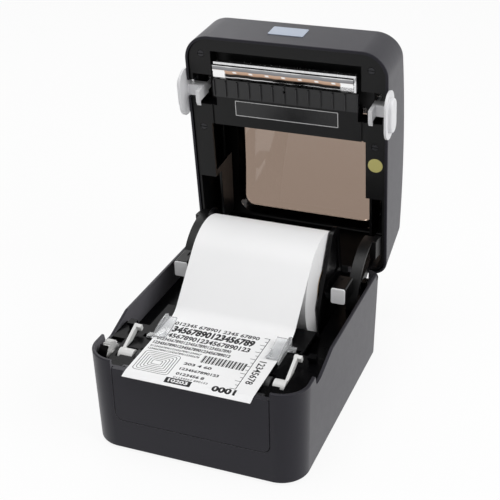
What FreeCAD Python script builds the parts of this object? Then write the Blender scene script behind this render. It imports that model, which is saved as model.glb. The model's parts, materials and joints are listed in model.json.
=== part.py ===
import FreeCAD, Part
import math
import os

# Desktop label printer with its lid open. Millimetres, X to the right, Y to the rear, Z up.
# Everything is first placed with the lid shut and the case centred on the Z axis, then the
# lid's pieces are turned open about the hinge and the whole is centred on its own outline.

# Label roll and the web that leaves it
label_width = 104.0
roll_radius = 45.0
roll_lift = 2.5
core_bore = 12.7
core_wall = 2.0
web_drop = 6.0
web_thickness = 0.3
web_bend = 18.0
web_slope = 45.0
web_wrap_end = -15.0
web_overhang = 6.0
web_droop = 1.4

# Room around the label and the roll, which sets the case's width, depth and height
lever_stack = 18.8
gear_gap = 7.4
gear_width = 5.6
gear_inset = 5.2
front_run = 116.5
rear_room = 8.5
under_room = 39.0
lid_room = 14.5

# Case
foot_height = 2.0
foot_radius = 9.0
foot_inset_x = 20.0
foot_inset_y = 22.0
front_corner = 22.5
rear_corner = 14.0
case_wall = 2.5
case_draft = 1.0
rim_round = 0.9
bottom_round = 1.5
bottom_plate_thickness = 2.5
moulding_gap = 0.3

# Front panel
panel_side_room = 25.3
panel_bottom = 29.5
panel_corner = 6.0
panel_gap = 0.8
panel_lip = 3.0
panel_lip_thickness = 2.1

# Lid
lid_gap = 0.4
lid_edge_round = 5.0
least_round = 0.8
lid_front_slope = 1.5
lid_rear_slope = 12.0
lid_rear_setback = 2.5
crown_radius = 400.0
crown_peak_y = -5.0
open_angle = 83.7

# Window in the lid
window_side_room = 26.0
window_setback = 83.5
window_rear_room = 25.5
window_corner = 10.0
window_flange = 6.5
window_flange_thickness = 1.8

# Hinge and the curved stays beside it
hinge_inset = 4.0
hinge_drop = 19.5
hinge_pin_radius = 3.0
running_gap = 0.05
ear_side_room = 23.0
ear_thickness = 7.0
ear_radius = 6.5
ear_side_gap = 0.5
hinge_post_thickness = 4.0
hinge_bay_gap = 0.2
stay_radius = 45.0
stay_thickness = 2.2
stay_inner_room = 17.5
stay_outer_room = 8.0
stay_start = 78.0
stay_end = 181.5
stay_slot_gap = 0.6

# Inner tub
tub_wall = 2.2
deck_drop = 8.5
side_deck_drop = 21.5
deck_step_setback = 69.5
well_gap = 2.5
well_slope = 45.0
column_radius = 4.0
column_side_room = 11.0

# Platen, its bearing levers and gears
platen_setback = 28.5
platen_radius = 6.5
platen_shaft_radius = 3.0
web_to_platen = 0.3
bush_radius = 6.0
lever_angle = 22.0
lever_length = 30.0
lever_width = 5.0
lever_thickness = 2.5
lever_tab_width = 6.3
lever_tab_depth = 3.6
gear_module = 0.8
platen_teeth = 24
idler_teeth = 30
pinion_teeth = 12
pressure_angle = 25.0
gear_backlash = 0.16
guard_radius = 11.3

# Motor and its plate
motor_size = 42.0
motor_length = 34.0
motor_boss_radius = 11.0
motor_shaft_radius = 2.5
motor_hole_pitch = 31.0
gear_plate_thickness = 2.0

# Roll holders
holder_gap = 1.6
holder_thickness = 3.0
holder_travel = 5.5
hub_depth = 10.0
hub_gap = 0.1
grip_reach = 7.9
grip_width = 12.5
grip_lead = 17.0
grip_depth = 23.0
grip_height = 14.5
grip_drop = 3.0
holder_pinion_module = 1.0
holder_pinion_teeth = 16
rack_width = 4.0
rack_thickness = 4.0
rack_z = 11.5

# Clear guides beside the web
edge_gap = 0.4
edge_thickness = 1.5
edge_travel = 4.0
edge_setback = 49.5
edge_length = 30.0
edge_pinion_module = 0.75
edge_pinion_teeth = 16
edge_rack_drop = 17.5
edge_rack_thickness = 3.0

# Latches
latch_setback = 52.0
latch_length = 42.0
latch_height = 25.0
latch_flange = 2.0
latch_cap_length = 30.0
latch_cap_height = 15.0
latch_cap_depth = 3.6
latch_hook_room = 14.5
latch_hook_width = 3.5
latch_hook_depth = 10.0
latch_lip = 4.2
latch_travel = 4.0
latch_seat_reach = 18.0
latch_slot_gap = 1.2
latch_pocket_front = 16.5
latch_pocket_rear = 11.5
latch_pocket_wall = 1.5
scoop_front = 17.5
scoop_middle = 11.5
scoop_rear = 23.0
scoop_depth = 9.0
scoop_corner = 7.0

# Print head
head_overlap = 9.5
head_lead = 6.0
head_depth = 13.0
head_to_web = 0.3
head_cover_height = 4.9
head_bracket_height = 5.0
head_travel = 1.5
head_spring_inset = 21.5

# Ribbed guide behind the head
rib_overlap = 12.0
rib_gap = 2.0
rib_depth = 16.5
rib_count = 13
rib_height = 1.5
rib_width = 1.2
rib_plate = 2.0

# Inner frame of the lid
liner_thickness = 2.5
liner_lift = 2.0
liner_side_room = 19.5
liner_strip_room = 79.5
liner_fin_rear = 27.5
liner_fin_low = 11.5
liner_fin_height = 28.0
liner_panel_gap = 2.0
liner_groove = 1.6
liner_groove_depth = 1.4
head_bay = 9.0
bay_side_gap = 2.0
roof_lift = 15.5
roof_thickness = 2.2
skirt_height = 24.0
skirt_setback = 27.5

# Springs
spring_wire = 0.8
spring_radius = 3.2
spring_turns = 5

# Fasteners
screw_radius = 1.5
screw_head_radius = 2.8
screw_head_height = 1.4
screw_length = 12.0

# Controls and sockets
feed_side_room = 27.0
feed_setback = 25.5
feed_radius = 5.5
feed_gap = 0.2
feed_travel = 0.8
light_pitch = 14.0
light_radius = 1.6
switch_side_room = 34.0
switch_z = 24.0
switch_width = 14.0
switch_height = 20.0
switch_depth = 14.0
rocker_tilt = 8.0
jack_x = 24.0
usb_x = -10.0
board_half_width = 50.0
board_thickness = 1.6
board_z = 7.0
board_lift = 37.0

V = FreeCAD.Vector
X_AXIS = V(1, 0, 0)
Y_AXIS = V(0, 1, 0)
Z_AXIS = V(0, 0, 1)

# Places worked out from the sizes
label_half = label_width / 2
half_w = label_half + lever_stack + gear_gap + gear_width + gear_inset
base_width = 2 * half_w
base_depth = front_run + 2 * roll_radius + rear_room
half_d = base_depth / 2
base_height = roll_radius - roll_lift + under_room
lid_height = roll_radius + roll_lift + lid_room
floor_z = foot_height
rim_z = foot_height + base_height
draft = math.tan(math.radians(case_draft))
hinge_y = half_d - hinge_inset
hinge_z = rim_z - hinge_drop
web_z = rim_z - web_drop
roll_y = half_d - rear_room - roll_radius
roll_z = rim_z + roll_lift
deck_z = rim_z - deck_drop
side_deck_z = rim_z - side_deck_drop
platen_y = -half_d + platen_setback
platen_z = web_z - web_to_platen - platen_radius
panel_top = web_z - 0.5
panel_half_width = half_w - panel_side_room
deck_step_y = -half_d + deck_step_setback
latch_y = -half_d + latch_setback
edge_front = -half_d + edge_setback
latch_hook_inner_x = half_w - latch_hook_room
ear_inner_x = half_w - ear_side_room
rib_half_width = label_half + rib_overlap
head_half_width = label_half + head_overlap
head_front = platen_y - head_lead
rib_front = head_front + head_depth + rib_gap
window_half_width = half_w - window_side_room
window_front = -half_d + window_setback
window_rear = half_d - window_rear_room
liner_window = half_w - liner_side_room
liner_strip_end = half_d - liner_strip_room
liner_panel_rear = window_front - liner_panel_gap
liner_front_bar = head_front - head_bay
bay_half = rib_half_width + bay_side_gap
roof_half = bay_half + 2.0
skirt_front = -half_d + skirt_setback
stay_inner_x = half_w - stay_inner_room
stay_outer_x = half_w - stay_outer_room
feed_x = half_w - feed_side_room
feed_y = -half_d + feed_setback
light_x = feed_x - light_pitch
switch_x = half_w - switch_side_room
holder_x = label_half + holder_gap
holder_outer_x = holder_x + holder_thickness
grip_inner_x = holder_outer_x + grip_reach
grip_front = roll_y - grip_lead
well_half = holder_outer_x + holder_travel + 0.9
well_radius = roll_radius + well_gap
plate_top = floor_z + bottom_plate_thickness
ear_outer_x = ear_inner_x + ear_thickness
post_inner_x = ear_inner_x - ear_side_gap - hinge_post_thickness
post_outer_x = ear_outer_x + ear_side_gap + hinge_post_thickness
hook_outer_x = latch_hook_inner_x + latch_hook_width
hook_rear_y = latch_y + latch_hook_depth / 2
liner_z = rim_z + liner_lift
roof_z = rim_z + roof_lift
gear_x = -(half_w - gear_inset)
gear_end_x = gear_x + gear_width
nodes = {}


def box(x0, x1, y0, y1, z0, z1):
    return Part.makeBox(x1 - x0, y1 - y0, z1 - z0, V(x0, y0, z0))


def sided_box(side, x0, x1, y0, y1, z0, z1):
    low = min(side * x0, side * x1)
    high = max(side * x0, side * x1)
    return box(low, high, y0, y1, z0, z1)


def rod_x(radius, x0, x1, y, z):
    return Part.makeCylinder(radius, x1 - x0, V(x0, y, z), X_AXIS)


def rod_y(radius, x, y0, y1, z):
    return Part.makeCylinder(radius, y1 - y0, V(x, y0, z), Y_AXIS)


def rod_z(radius, x, y, z0, z1):
    return Part.makeCylinder(radius, z1 - z0, V(x, y, z0), Z_AXIS)


def joined(first, *others):
    result = first
    for other in others:
        result = result.fuse(other)
    return result.removeSplitter()


def less(shape, *tools):
    for tool in tools:
        shape = shape.cut(tool)
    return shape


def slab_x(points, x0, x1):
    # A flat piece: an outline of (y, z) points given a thickness along X
    corners = [V(x0, y, z) for y, z in points]
    face = Part.Face(Part.makePolygon(corners + [corners[0]]))
    return face.extrude(V(x1 - x0, 0, 0))


def sector_x(x0, x1, y, z, r0, r1, first, last):
    # Part of a ring about an axis along X, between two angles counted from +Y towards +Z
    def spot(radius, angle):
        turn = math.radians(angle)
        return V(x0, y + radius * math.cos(turn), z + radius * math.sin(turn))

    middle = (first + last) / 2
    edges = [Part.Arc(spot(r1, first), spot(r1, middle), spot(r1, last)).toShape(),
             Part.makeLine(spot(r1, last), spot(r0, last)),
             Part.Arc(spot(r0, last), spot(r0, middle), spot(r0, first)).toShape(),
             Part.makeLine(spot(r0, first), spot(r1, first))]
    return Part.Face(Part.Wire(edges)).extrude(V(x1 - x0, 0, 0))


def rounded_wire(corners):
    # A closed outline from (point, radius) corners, each corner rounded by an arc
    edges = []
    starts = []
    ends = []
    count = len(corners)
    for i in range(count):
        point, radius = corners[i]
        before = (corners[i - 1][0] - point).normalize()
        after = (corners[(i + 1) % count][0] - point).normalize()
        half_turn = before.getAngle(after) / 2
        reach = radius / math.tan(half_turn)
        middle = point + (before + after).normalize() * (radius / math.sin(half_turn) - radius)
        starts.append(point + before * reach)
        ends.append(point + after * reach)
        edges.append(Part.Arc(starts[i], middle, ends[i]).toShape())
        if i:
            edges.insert(-1, Part.makeLine(ends[i - 1], starts[i]))
    edges.append(Part.makeLine(ends[-1], starts[0]))
    return Part.Wire(edges)


def plan_wire(half_x, y_front, y_rear, front_radius, rear_radius, z):
    return rounded_wire([
        (V(-half_x, y_front, z), front_radius),
        (V(half_x, y_front, z), front_radius),
        (V(half_x, y_rear, z), rear_radius),
        (V(-half_x, y_rear, z), rear_radius),
    ])


def base_block(inset):
    # The case's outer form, drawn in evenly by the inset, with draft towards the table
    lean = draft * base_height + inset
    low = plan_wire(half_w - lean, lean - half_d, half_d - lean,
                    front_corner - inset, rear_corner - inset, floor_z)
    high = plan_wire(half_w - inset, inset - half_d, half_d - inset,
                     front_corner - inset, rear_corner - inset, rim_z)
    return Part.makeLoft([low, high], True, True)


def lid_block(inset):
    # The lid's outer form, drawn in by the inset: drafted walls, crowned top, rounded edge
    low_z = rim_z + lid_gap
    rise = lid_height + crown_radius * 0.05
    side = inset + draft * rise
    front = inset + math.tan(math.radians(lid_front_slope)) * rise
    rear = inset + lid_rear_setback + math.tan(math.radians(lid_rear_slope)) * rise
    low = plan_wire(half_w - inset, inset - half_d, half_d - lid_rear_setback - inset,
                    front_corner - inset, rear_corner - inset, low_z)
    high = plan_wire(half_w - side, front - half_d, half_d - rear,
                     front_corner - inset, rear_corner - inset, low_z + rise)
    walls = Part.makeLoft([low, high], True, True)
    arc_radius = crown_radius - inset
    arc_z = rim_z + lid_height - crown_radius
    spread = math.radians(24.0)
    arc = []
    for turn in (-spread, 0, spread):
        arc.append(V(-base_width, crown_peak_y + arc_radius * math.sin(turn),
                     arc_z + arc_radius * math.cos(turn)))
    sill = [V(-base_width, arc[2].y, rim_z - 5), V(-base_width, arc[0].y, rim_z - 5)]
    outline = [Part.Arc(arc[0], arc[1], arc[2]).toShape()]
    outline += Part.makePolygon([arc[2], sill[0], sill[1], arc[0]]).Edges
    crown = Part.Face(Part.Wire(outline)).extrude(V(2 * base_width, 0, 0))
    block = walls.common(crown)
    top_edges = [e for e in block.Edges if e.BoundBox.ZMin > rim_z + lid_height / 2]
    return block.makeFillet(max(lid_edge_round - inset, least_round), top_edges)


def panel_block(grow, top):
    # The front panel's outline, grown by a margin, as a deep block through the front wall
    x = panel_half_width + grow
    low = panel_bottom - grow
    y = -half_d - 10
    wire = rounded_wire([
        (V(-x, y, low), panel_corner + grow),
        (V(x, y, low), panel_corner + grow),
        (V(x, y, top), 0.5),
        (V(-x, y, top), 0.5),
    ])
    return Part.Face(wire).extrude(V(0, 30, 0))


def oval_block(side, x0, x1, y, z, length, height):
    # A stadium-shaped plate facing sideways
    radius = height / 2 - 0.01
    wire = rounded_wire([
        (V(0, y - length / 2, z - height / 2), radius),
        (V(0, y + length / 2, z - height / 2), radius),
        (V(0, y + length / 2, z + height / 2), radius),
        (V(0, y - length / 2, z + height / 2), radius),
    ])
    plate = Part.Face(wire).extrude(V(side * (x1 - x0), 0, 0))
    plate.translate(V(side * x0, 0, 0))
    return plate


def gear_profile(teeth, module):
    # One wire round a spur gear with involute flanks; a tooth points along +X
    pitch = module * teeth / 2
    tip = pitch + 0.8 * module
    root = pitch - 1.05 * module
    alpha = math.radians(pressure_angle)
    base = pitch * math.cos(alpha)
    half_tooth = math.pi / (2 * teeth) - gear_backlash / (2 * pitch)
    at_pitch = math.tan(alpha) - alpha
    start = max(base, root)

    def flank_angle(radius):
        roll = math.acos(min(1.0, base / radius))
        return half_tooth + at_pitch - (math.tan(roll) - roll)

    def spot(radius, angle):
        return V(radius * math.cos(angle), radius * math.sin(angle), 0)

    edges = []
    radii = [start + (tip - start) * k / 4 for k in range(5)]
    for tooth in range(teeth):
        centre = 2 * math.pi * tooth / teeth
        following = centre + 2 * math.pi / teeth
        rising = [spot(r, centre - flank_angle(r)) for r in radii]
        falling = [spot(r, centre + flank_angle(r)) for r in reversed(radii)]
        foot_out = spot(root, centre + flank_angle(start))
        foot_in = spot(root, following - flank_angle(start))
        foot_here = spot(root, centre - flank_angle(start))
        curve_up = Part.BSplineCurve()
        curve_up.interpolate(rising)
        curve_down = Part.BSplineCurve()
        curve_down.interpolate(falling)
        if (rising[0] - foot_here).Length > 1e-6:
            edges.append(Part.makeLine(foot_here, rising[0]))
        edges.append(curve_up.toShape())
        edges.append(Part.makeLine(rising[-1], falling[0]))
        edges.append(curve_down.toShape())
        if (falling[-1] - foot_out).Length > 1e-6:
            edges.append(Part.makeLine(falling[-1], foot_out))
        edges.append(Part.makeLine(foot_out, foot_in))
    return Part.Wire(edges)


def gear(teeth, module, width, bore, turn):
    # A spur gear lying on Z = 0 about the Z axis, turned by an angle in degrees
    blank = Part.Face(gear_profile(teeth, module)).extrude(V(0, 0, width))
    blank = blank.cut(Part.makeCylinder(bore, width + 2, V(0, 0, -1)))
    blank.rotate(V(0, 0, 0), Z_AXIS, turn)
    return blank


def gear_across(teeth, bore, turn, y, z):
    # A drive gear standing in the gear space at the left, its axis along X
    shape = gear(teeth, gear_module, gear_width, bore, turn)
    shape.rotate(V(0, 0, 0), V(1, 1, 1), 120)
    shape.translate(V(gear_x, y, z))
    return shape


def rack(module, first_tooth, last_tooth, bar_end, width, thickness):
    # A rack along X on Z = 0 whose teeth point to -Y from the pitch line at Y = 0
    pitch = math.pi * module
    slope = math.tan(math.radians(pressure_angle))
    half = pitch / 4 - gear_backlash / 2
    points = []
    for k in range(first_tooth, last_tooth + 1):
        centre = (k + 0.5) * pitch
        points.append((centre - half - 1.05 * module * slope, 1.05 * module))
        points.append((centre - half + 0.8 * module * slope, -0.8 * module))
        points.append((centre + half - 0.8 * module * slope, -0.8 * module))
        points.append((centre + half + 1.05 * module * slope, 1.05 * module))
    back = 1.05 * module + width
    start_x = first_tooth * pitch - 1.0
    outline = [(start_x, back), (start_x, 1.05 * module)] + points
    outline += [(bar_end, 1.05 * module), (bar_end, back)]
    corners = [V(x, y, 0) for x, y in outline]
    face = Part.Face(Part.makePolygon(corners + [corners[0]]))
    return face.extrude(V(0, 0, thickness))


def coil(start, direction, length):
    # A compression spring: a round wire wound along a direction, its ends cut square
    turns_height = length - 2 * spring_wire
    pitch = turns_height / spring_turns
    helix = Part.makeHelix(pitch, turns_height, spring_radius - spring_wire / 2)
    circle = Part.Wire(Part.makeCircle(spring_wire / 2, V(spring_radius - spring_wire / 2, 0, 0), Y_AXIS))
    wire = Part.Wire(helix.Edges).makePipeShell([circle], True, True)
    wire.translate(V(0, 0, spring_wire))
    print("spring of length", round(length, 2), "mm, gap between turns", round(pitch - spring_wire, 2), "mm")
    wire.Placement = FreeCAD.Placement(start, FreeCAD.Rotation(Z_AXIS, direction)).multiply(wire.Placement)
    return wire


def screw(x, y, head_z, up):
    # A pan-head screw whose head's inner face is at head_z; up is the way its shank points
    head = Part.makeCylinder(screw_head_radius, screw_head_height, V(x, y, head_z), V(0, 0, -up))
    shank = Part.makeCylinder(screw_radius, screw_length, V(x, y, head_z), V(0, 0, up))
    slot = box(x - screw_head_radius, x + screw_head_radius, y - 0.4, y + 0.4, -0.7, 0)
    slot.translate(V(0, 0, head_z - up * screw_head_height + (0.7 if up > 0 else 0)))
    return less(joined(head, shank), slot)


# Base case
foot_places = []
for side in (-1, 1):
    for end in (-1, 1):
        foot_places.append((side * (half_w - foot_inset_x), end * (half_d - foot_inset_y)))
column_x = half_w - column_side_room
column_places = [(-30.0, -half_d + 11.0), (30.0, -half_d + 11.0)]
for side in (-1, 1):
    column_places.append((side * column_x, deck_step_y + 16))
    column_places.append((side * column_x, roll_y - 11))
socket_z = board_z + board_thickness

housing = base_block(0)
top_edges = [e for e in housing.Edges if e.BoundBox.ZMin > rim_z - 0.01]
housing = housing.makeFillet(rim_round, top_edges)
low_edges = [e for e in housing.Edges if e.BoundBox.ZMax < floor_z + 0.01]
housing = housing.makeFillet(bottom_round, low_edges)
housing = housing.cut(base_block(case_wall))
housing = less(
    housing,
    panel_block(panel_gap, rim_z + 5),
    box(-base_width, base_width, half_d - 17.5, base_depth, rim_z - 5.5, rim_z + 5),
    box(jack_x - 7.3, jack_x + 7.3, half_d - 6, base_depth, socket_z - 0.3, socket_z + 12.3),
    box(usb_x - 6.3, usb_x + 6.3, half_d - 6, base_depth, socket_z - 0.3, socket_z + 11.3),
    box(switch_x - switch_width / 2, switch_x + switch_width / 2, half_d - 6, base_depth,
        switch_z - switch_height / 2, switch_z + switch_height / 2))
for side in (-1, 1):
    scoop_x = side * (half_w - 8)
    scoop = rounded_wire([
        (V(scoop_x, latch_y - scoop_front, rim_z - scoop_depth), scoop_corner - 3),
        (V(scoop_x, latch_y - scoop_front + scoop_middle, rim_z - scoop_depth), scoop_corner),
        (V(scoop_x, latch_y + scoop_rear, rim_z), scoop_corner - 2),
        (V(scoop_x, latch_y + scoop_rear + 4, rim_z + 12), 1.0),
        (V(scoop_x, latch_y - scoop_front - 5, rim_z + 12), 1.0),
    ])
    hinge_bay = sided_box(side, post_inner_x - hinge_bay_gap, post_outer_x + hinge_bay_gap,
                          half_d - 10, base_depth, hinge_z - ear_radius - 1.5, rim_z + 5)
    housing = less(housing, Part.Face(scoop).extrude(V(side * 20, 0, 0)), hinge_bay)
nodes["base_housing"] = housing

bottom = base_block(case_wall + moulding_gap)
bottom = bottom.common(box(-base_width, base_width, -base_depth, base_depth, floor_z, plate_top))
board_posts = []
for x in (-board_half_width + 6, board_half_width - 6):
    for y in (-half_d + 25.5, 10.0, half_d - 23.5):
        board_posts.append((x, y))
for x, y in board_posts:
    bottom = bottom.fuse(rod_z(3.0, x, y, plate_top - 1, board_z))
bottom = bottom.removeSplitter()
for x, y in column_places:
    bottom = less(bottom, rod_z(screw_radius, x, y, floor_z - 1, plate_top + 1),
                  rod_z(screw_head_radius + 0.2, x, y, floor_z - 1, floor_z + screw_head_height + 0.1))
nodes["bottom_plate"] = bottom

feet = [rod_z(foot_radius, x, y, 0, foot_height) for x, y in foot_places]
nodes["rubber_feet"] = Part.makeCompound(feet)

base_screws = [screw(x, y, floor_z + screw_head_height + 0.1, 1) for x, y in column_places]
nodes["base_screws"] = Part.makeCompound(base_screws)

# Front panel: a plate flush with the case, with a lip behind the case wall
panel_inner = case_wall + moulding_gap + panel_lip_thickness
skin = base_block(0).cut(base_block(panel_inner))
lip = base_block(case_wall + moulding_gap).cut(base_block(panel_inner))
panel = joined(skin.common(panel_block(0, panel_top)),
               lip.common(panel_block(panel_lip, panel_top)))
nodes["front_panel"] = panel

# Inner tub: deck at the front, round well for the roll, low side decks, posts and cradles
tub_outer = well_half + tub_wall
deck_front = -half_d + panel_inner + moulding_gap
inside = base_block(case_wall + moulding_gap)
front_plate = inside.common(box(-base_width, base_width, deck_front, deck_step_y,
                                deck_z - tub_wall, deck_z))
lip_room = base_block(0).cut(base_block(panel_inner + moulding_gap))
front_plate = front_plate.cut(lip_room.common(panel_block(panel_lip + moulding_gap, rim_z)))
slope = math.radians(well_slope)
slope_low = (roll_y - well_radius * math.sin(slope), roll_z - well_radius * math.cos(slope))
slope_under = (roll_y - (well_radius + tub_wall) * math.sin(slope),
               roll_z - (well_radius + tub_wall) * math.cos(slope))
slope_top_y = slope_low[0] - (deck_z - slope_low[1]) / math.tan(slope)
slope_side_y = slope_low[0] - (side_deck_z - slope_low[1]) / math.tan(slope)
slope_points = [slope_low, (slope_top_y, deck_z), (slope_top_y, deck_z - tub_wall / math.cos(slope)),
                slope_under]
trough_bottom = roll_z - well_radius - tub_wall
cheek_points = slope_points[1:] + [(roll_y, trough_bottom), (roll_y, side_deck_z),
                                   (slope_side_y, side_deck_z)]
middle_plate = box(-tub_outer, tub_outer, deck_step_y - 1, slope_top_y, deck_z - tub_wall, deck_z)
slope_plate = slab_x(slope_points, -tub_outer, tub_outer)
trough = rod_x(well_radius + tub_wall, -tub_outer, tub_outer, roll_y, roll_z)
trough = trough.cut(rod_x(well_radius, -well_half, well_half, roll_y, roll_z))
far_out = 3 * well_radius
before_slope = [(roll_y, roll_z),
                (roll_y - far_out * math.sin(slope), roll_z - far_out * math.cos(slope)),
                (roll_y - far_out, roll_z - far_out * math.cos(slope)),
                (roll_y - far_out, roll_z + far_out), (roll_y, roll_z + far_out)]
trough = less(trough, slab_x(before_slope, -base_width, base_width),
              box(-base_width, base_width, -base_depth, base_depth, deck_z, rim_z + 60))
for side in (-1, 1):
    trough = trough.cut(sided_box(side, well_half - 0.1, tub_outer + 1, slope_side_y,
                                  roll_y + well_radius - 14, side_deck_z, rim_z))
    cheek = slab_x(cheek_points, side * well_half, side * tub_outer)
    trough = trough.fuse(cheek)
tub = joined(front_plate, middle_plate, slope_plate, trough)
for side in (-1, 1):
    side_deck = inside.common(sided_box(side, well_half, half_w, deck_step_y, half_d - 7,
                                        side_deck_z - tub_wall, side_deck_z))
    side_deck = side_deck.cut(rod_x(well_radius, -well_half, well_half, roll_y, roll_z))
    step_wall = inside.common(sided_box(side, well_half, half_w, deck_step_y - tub_wall, deck_step_y,
                                        side_deck_z - tub_wall, deck_z))
    inner_post = sided_box(side, post_inner_x, ear_inner_x - ear_side_gap, hinge_y - 7, hinge_y + 2,
                           side_deck_z - tub_wall, hinge_z + 6)
    outer_post = sided_box(side, ear_outer_x + ear_side_gap, post_outer_x, hinge_y - 7, hinge_y + 2,
                           side_deck_z - tub_wall, hinge_z + 6)
    catch_y = hook_rear_y + latch_lip + 0.5
    catch = joined(sided_box(side, latch_hook_inner_x - 1, hook_outer_x + 2, catch_y, catch_y + 4,
                             deck_z - tub_wall, rim_z - 2.9),
                   sided_box(side, latch_hook_inner_x - 1, hook_outer_x + 2, catch_y - 2.9, catch_y + 4,
                             rim_z - 4.9, rim_z - 2.9))
    tub = joined(tub, side_deck, step_wall, inner_post, outer_post, catch)
    ear_slot = sided_box(side, ear_inner_x - ear_side_gap, ear_outer_x + ear_side_gap,
                         hinge_y - ear_radius - 1.5, half_d, 0, rim_z)
    stay_slot = sided_box(side, stay_inner_x - stay_slot_gap, stay_outer_x + stay_slot_gap,
                          hinge_y - stay_radius - stay_slot_gap,
                          hinge_y - stay_radius + stay_thickness + 1.0, side_deck_z - tub_wall - 1,
                          side_deck_z + 1)
    tub = less(tub, ear_slot, stay_slot)
for x, y in column_places:
    top = deck_z - 1 if y < deck_step_y else side_deck_z - 1
    tub = tub.fuse(rod_z(column_radius, x, y, plate_top, top))
tub = tub.cut(box(-label_half - 4, label_half + 4, platen_y - platen_radius - 1.5,
                  platen_y + platen_radius + 1.5, deck_z - 10, deck_z + 1))

# Bearing cradles beside the platen, with slots for the levers and the gear
right_bush_x = (label_half + 6.0, label_half + 15.5)
left_bush_x = (-(label_half + lever_stack), -(label_half + 6.5))
cradle_right = (right_bush_x[0] + 1.0, right_bush_x[0] + 4.8)
cradle_left = (left_bush_x[0] + 3.2, left_bush_x[1] - 4.6)
for x0, x1 in (cradle_left, cradle_right):
    tub = tub.fuse(box(x0, x1, platen_y - 13, platen_y + 13, deck_z - 14, deck_z))
for x0, x1 in (left_bush_x, right_bush_x):
    slot_x0 = x0 - 0.6
    slot_x1 = x1 + 0.6
    tub = less(tub, rod_x(bush_radius + running_gap, slot_x0, slot_x1, platen_y, platen_z),
               box(slot_x0, slot_x1, platen_y - bush_radius - running_gap,
                   platen_y + bush_radius + running_gap, platen_z, rim_z))
lever_slots = ((left_bush_x[0] - 0.6, left_bush_x[0] + lever_thickness + 0.6),
               (right_bush_x[1] - lever_thickness - 0.6, right_bush_x[1] + 0.6))
for x0, x1 in lever_slots:
    tub = tub.cut(box(x0, x1, platen_y - 9, platen_y + 20, deck_z - 12, rim_z))
shaft_right_x = label_half + 18.0
tub = less(tub,
           box(gear_x - 2, gear_end_x + 3.5, platen_y - 13, platen_y + 16, deck_z - 12, rim_z),
           rod_x(platen_shaft_radius + 0.6, gear_x - 2, shaft_right_x + 2, platen_y, platen_z))
gear_guard = sector_x(gear_x + 0.3, gear_end_x + 1, platen_y, platen_z, guard_radius,
                      guard_radius + tub_wall + 0.2, 125, 195)
tub = tub.fuse(gear_guard)

# Racks, pinions and the slots that their necks run in
holder_pitch = holder_pinion_module * holder_pinion_teeth / 2
edge_pitch = edge_pinion_module * edge_pinion_teeth / 2
edge_pinion_y = edge_front + 14.0
edge_rack_z = rim_z - edge_rack_drop
holder_bar = holder_pitch + 1.05 * holder_pinion_module
edge_bar = edge_pitch + 1.05 * edge_pinion_module
edge_x = label_half + edge_gap
edge_neck_x = edge_x + edge_thickness + 2.0
edge_neck = 3.0
stud_radius = 2.0
tub = joined(tub, rod_z(stud_radius, 0, roll_y, rack_z - 0.5, trough_bottom + 1),
             rod_z(stud_radius, 0, edge_pinion_y, edge_rack_z - 0.5, deck_z - 1))
for side in (-1, 1):
    near = roll_y + side * holder_bar
    far = roll_y + side * (holder_bar + rack_width)
    tub = tub.cut(sided_box(side, holder_x - 0.4, holder_outer_x + holder_travel + 0.4,
                            min(near, far) - 0.4, max(near, far) + 0.4, 0, trough_bottom + 8))
    near = edge_pinion_y + side * edge_bar
    far = edge_pinion_y + side * (edge_bar + rack_width)
    tub = tub.cut(sided_box(side, edge_neck_x - 0.4, edge_neck_x + edge_neck + edge_travel + 0.4,
                            min(near, far) - 0.4, max(near, far) + 0.4, deck_z - 5, deck_z + 1))
for x, y in column_places:
    tub = tub.cut(rod_z(screw_radius, x, y, 0, floor_z + screw_length + 3))
nodes["media_tub"] = tub.removeSplitter()

# Tear bar: a low strip with a saw edge at the exit
tear_half = label_half + 6.0
tear_front = deck_front + 0.2
tear_teeth = 30
tear_pitch = 2 * tear_half / tear_teeth
tear_top = web_z - 0.4
tear_points = [V(-tear_half, 0, deck_z), V(-tear_half, 0, tear_top - 1.2)]
for k in range(tear_teeth):
    tear_points.append(V(-tear_half + (k + 0.5) * tear_pitch, 0, tear_top))
    tear_points.append(V(-tear_half + (k + 1) * tear_pitch, 0, tear_top - 1.2))
tear_points.append(V(tear_half, 0, deck_z))
tear = Part.Face(Part.makePolygon(tear_points + [tear_points[0]])).extrude(V(0, 1.2, 0))
tear.translate(V(0, tear_front, 0))
tear_foot = box(-tear_half, tear_half, tear_front, tear_front + 4, deck_z, deck_z + 1.0)
nodes["tear_bar"] = joined(tear, tear_foot)

# Gap sensor under the web
nodes["gap_sensor"] = joined(
    box(-7, 7, rib_front + 4, rib_front + 12, deck_z, deck_z + 1.4),
    box(-3, 3, rib_front + 6, rib_front + 10, deck_z, web_z - 0.5))

# Label roll on its core, and the web that leaves it and hangs out at the front
core_radius = core_bore + core_wall
roll = rod_x(roll_radius, -label_half, label_half, roll_y, roll_z)
nodes["label_roll"] = roll.cut(rod_x(core_radius, -label_half - 1, label_half + 1, roll_y, roll_z))
core = rod_x(core_radius, -label_half, label_half, roll_y, roll_z)
nodes["roll_core"] = core.cut(rod_x(core_bore, -label_half - 1, label_half + 1, roll_y, roll_z))

web_top = web_z + web_thickness
clear_roll = roll_radius + moulding_gap
ramp = math.radians(web_slope)
wrap_turn = math.radians(90 + web_slope)
wrap_last = math.radians(web_wrap_end)
leave_z = roll_z + (clear_roll + web_thickness) * math.sin(wrap_turn)
leave_y = roll_y + (clear_roll + web_thickness) * math.cos(wrap_turn)
bend_z = web_top + web_bend
bend_y = leave_y - (leave_z - web_top) / math.tan(ramp) - web_bend * math.tan(ramp / 2)
exit_y = -half_d + 0.5
tip_y = -half_d - web_overhang


def bend_spot(radius, angle):
    return V(-label_half, bend_y + radius * math.sin(angle), bend_z - radius * math.cos(angle))


def wrap_spot(radius, angle):
    return V(-label_half, roll_y + radius * math.cos(angle), roll_z + radius * math.sin(angle))


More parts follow.
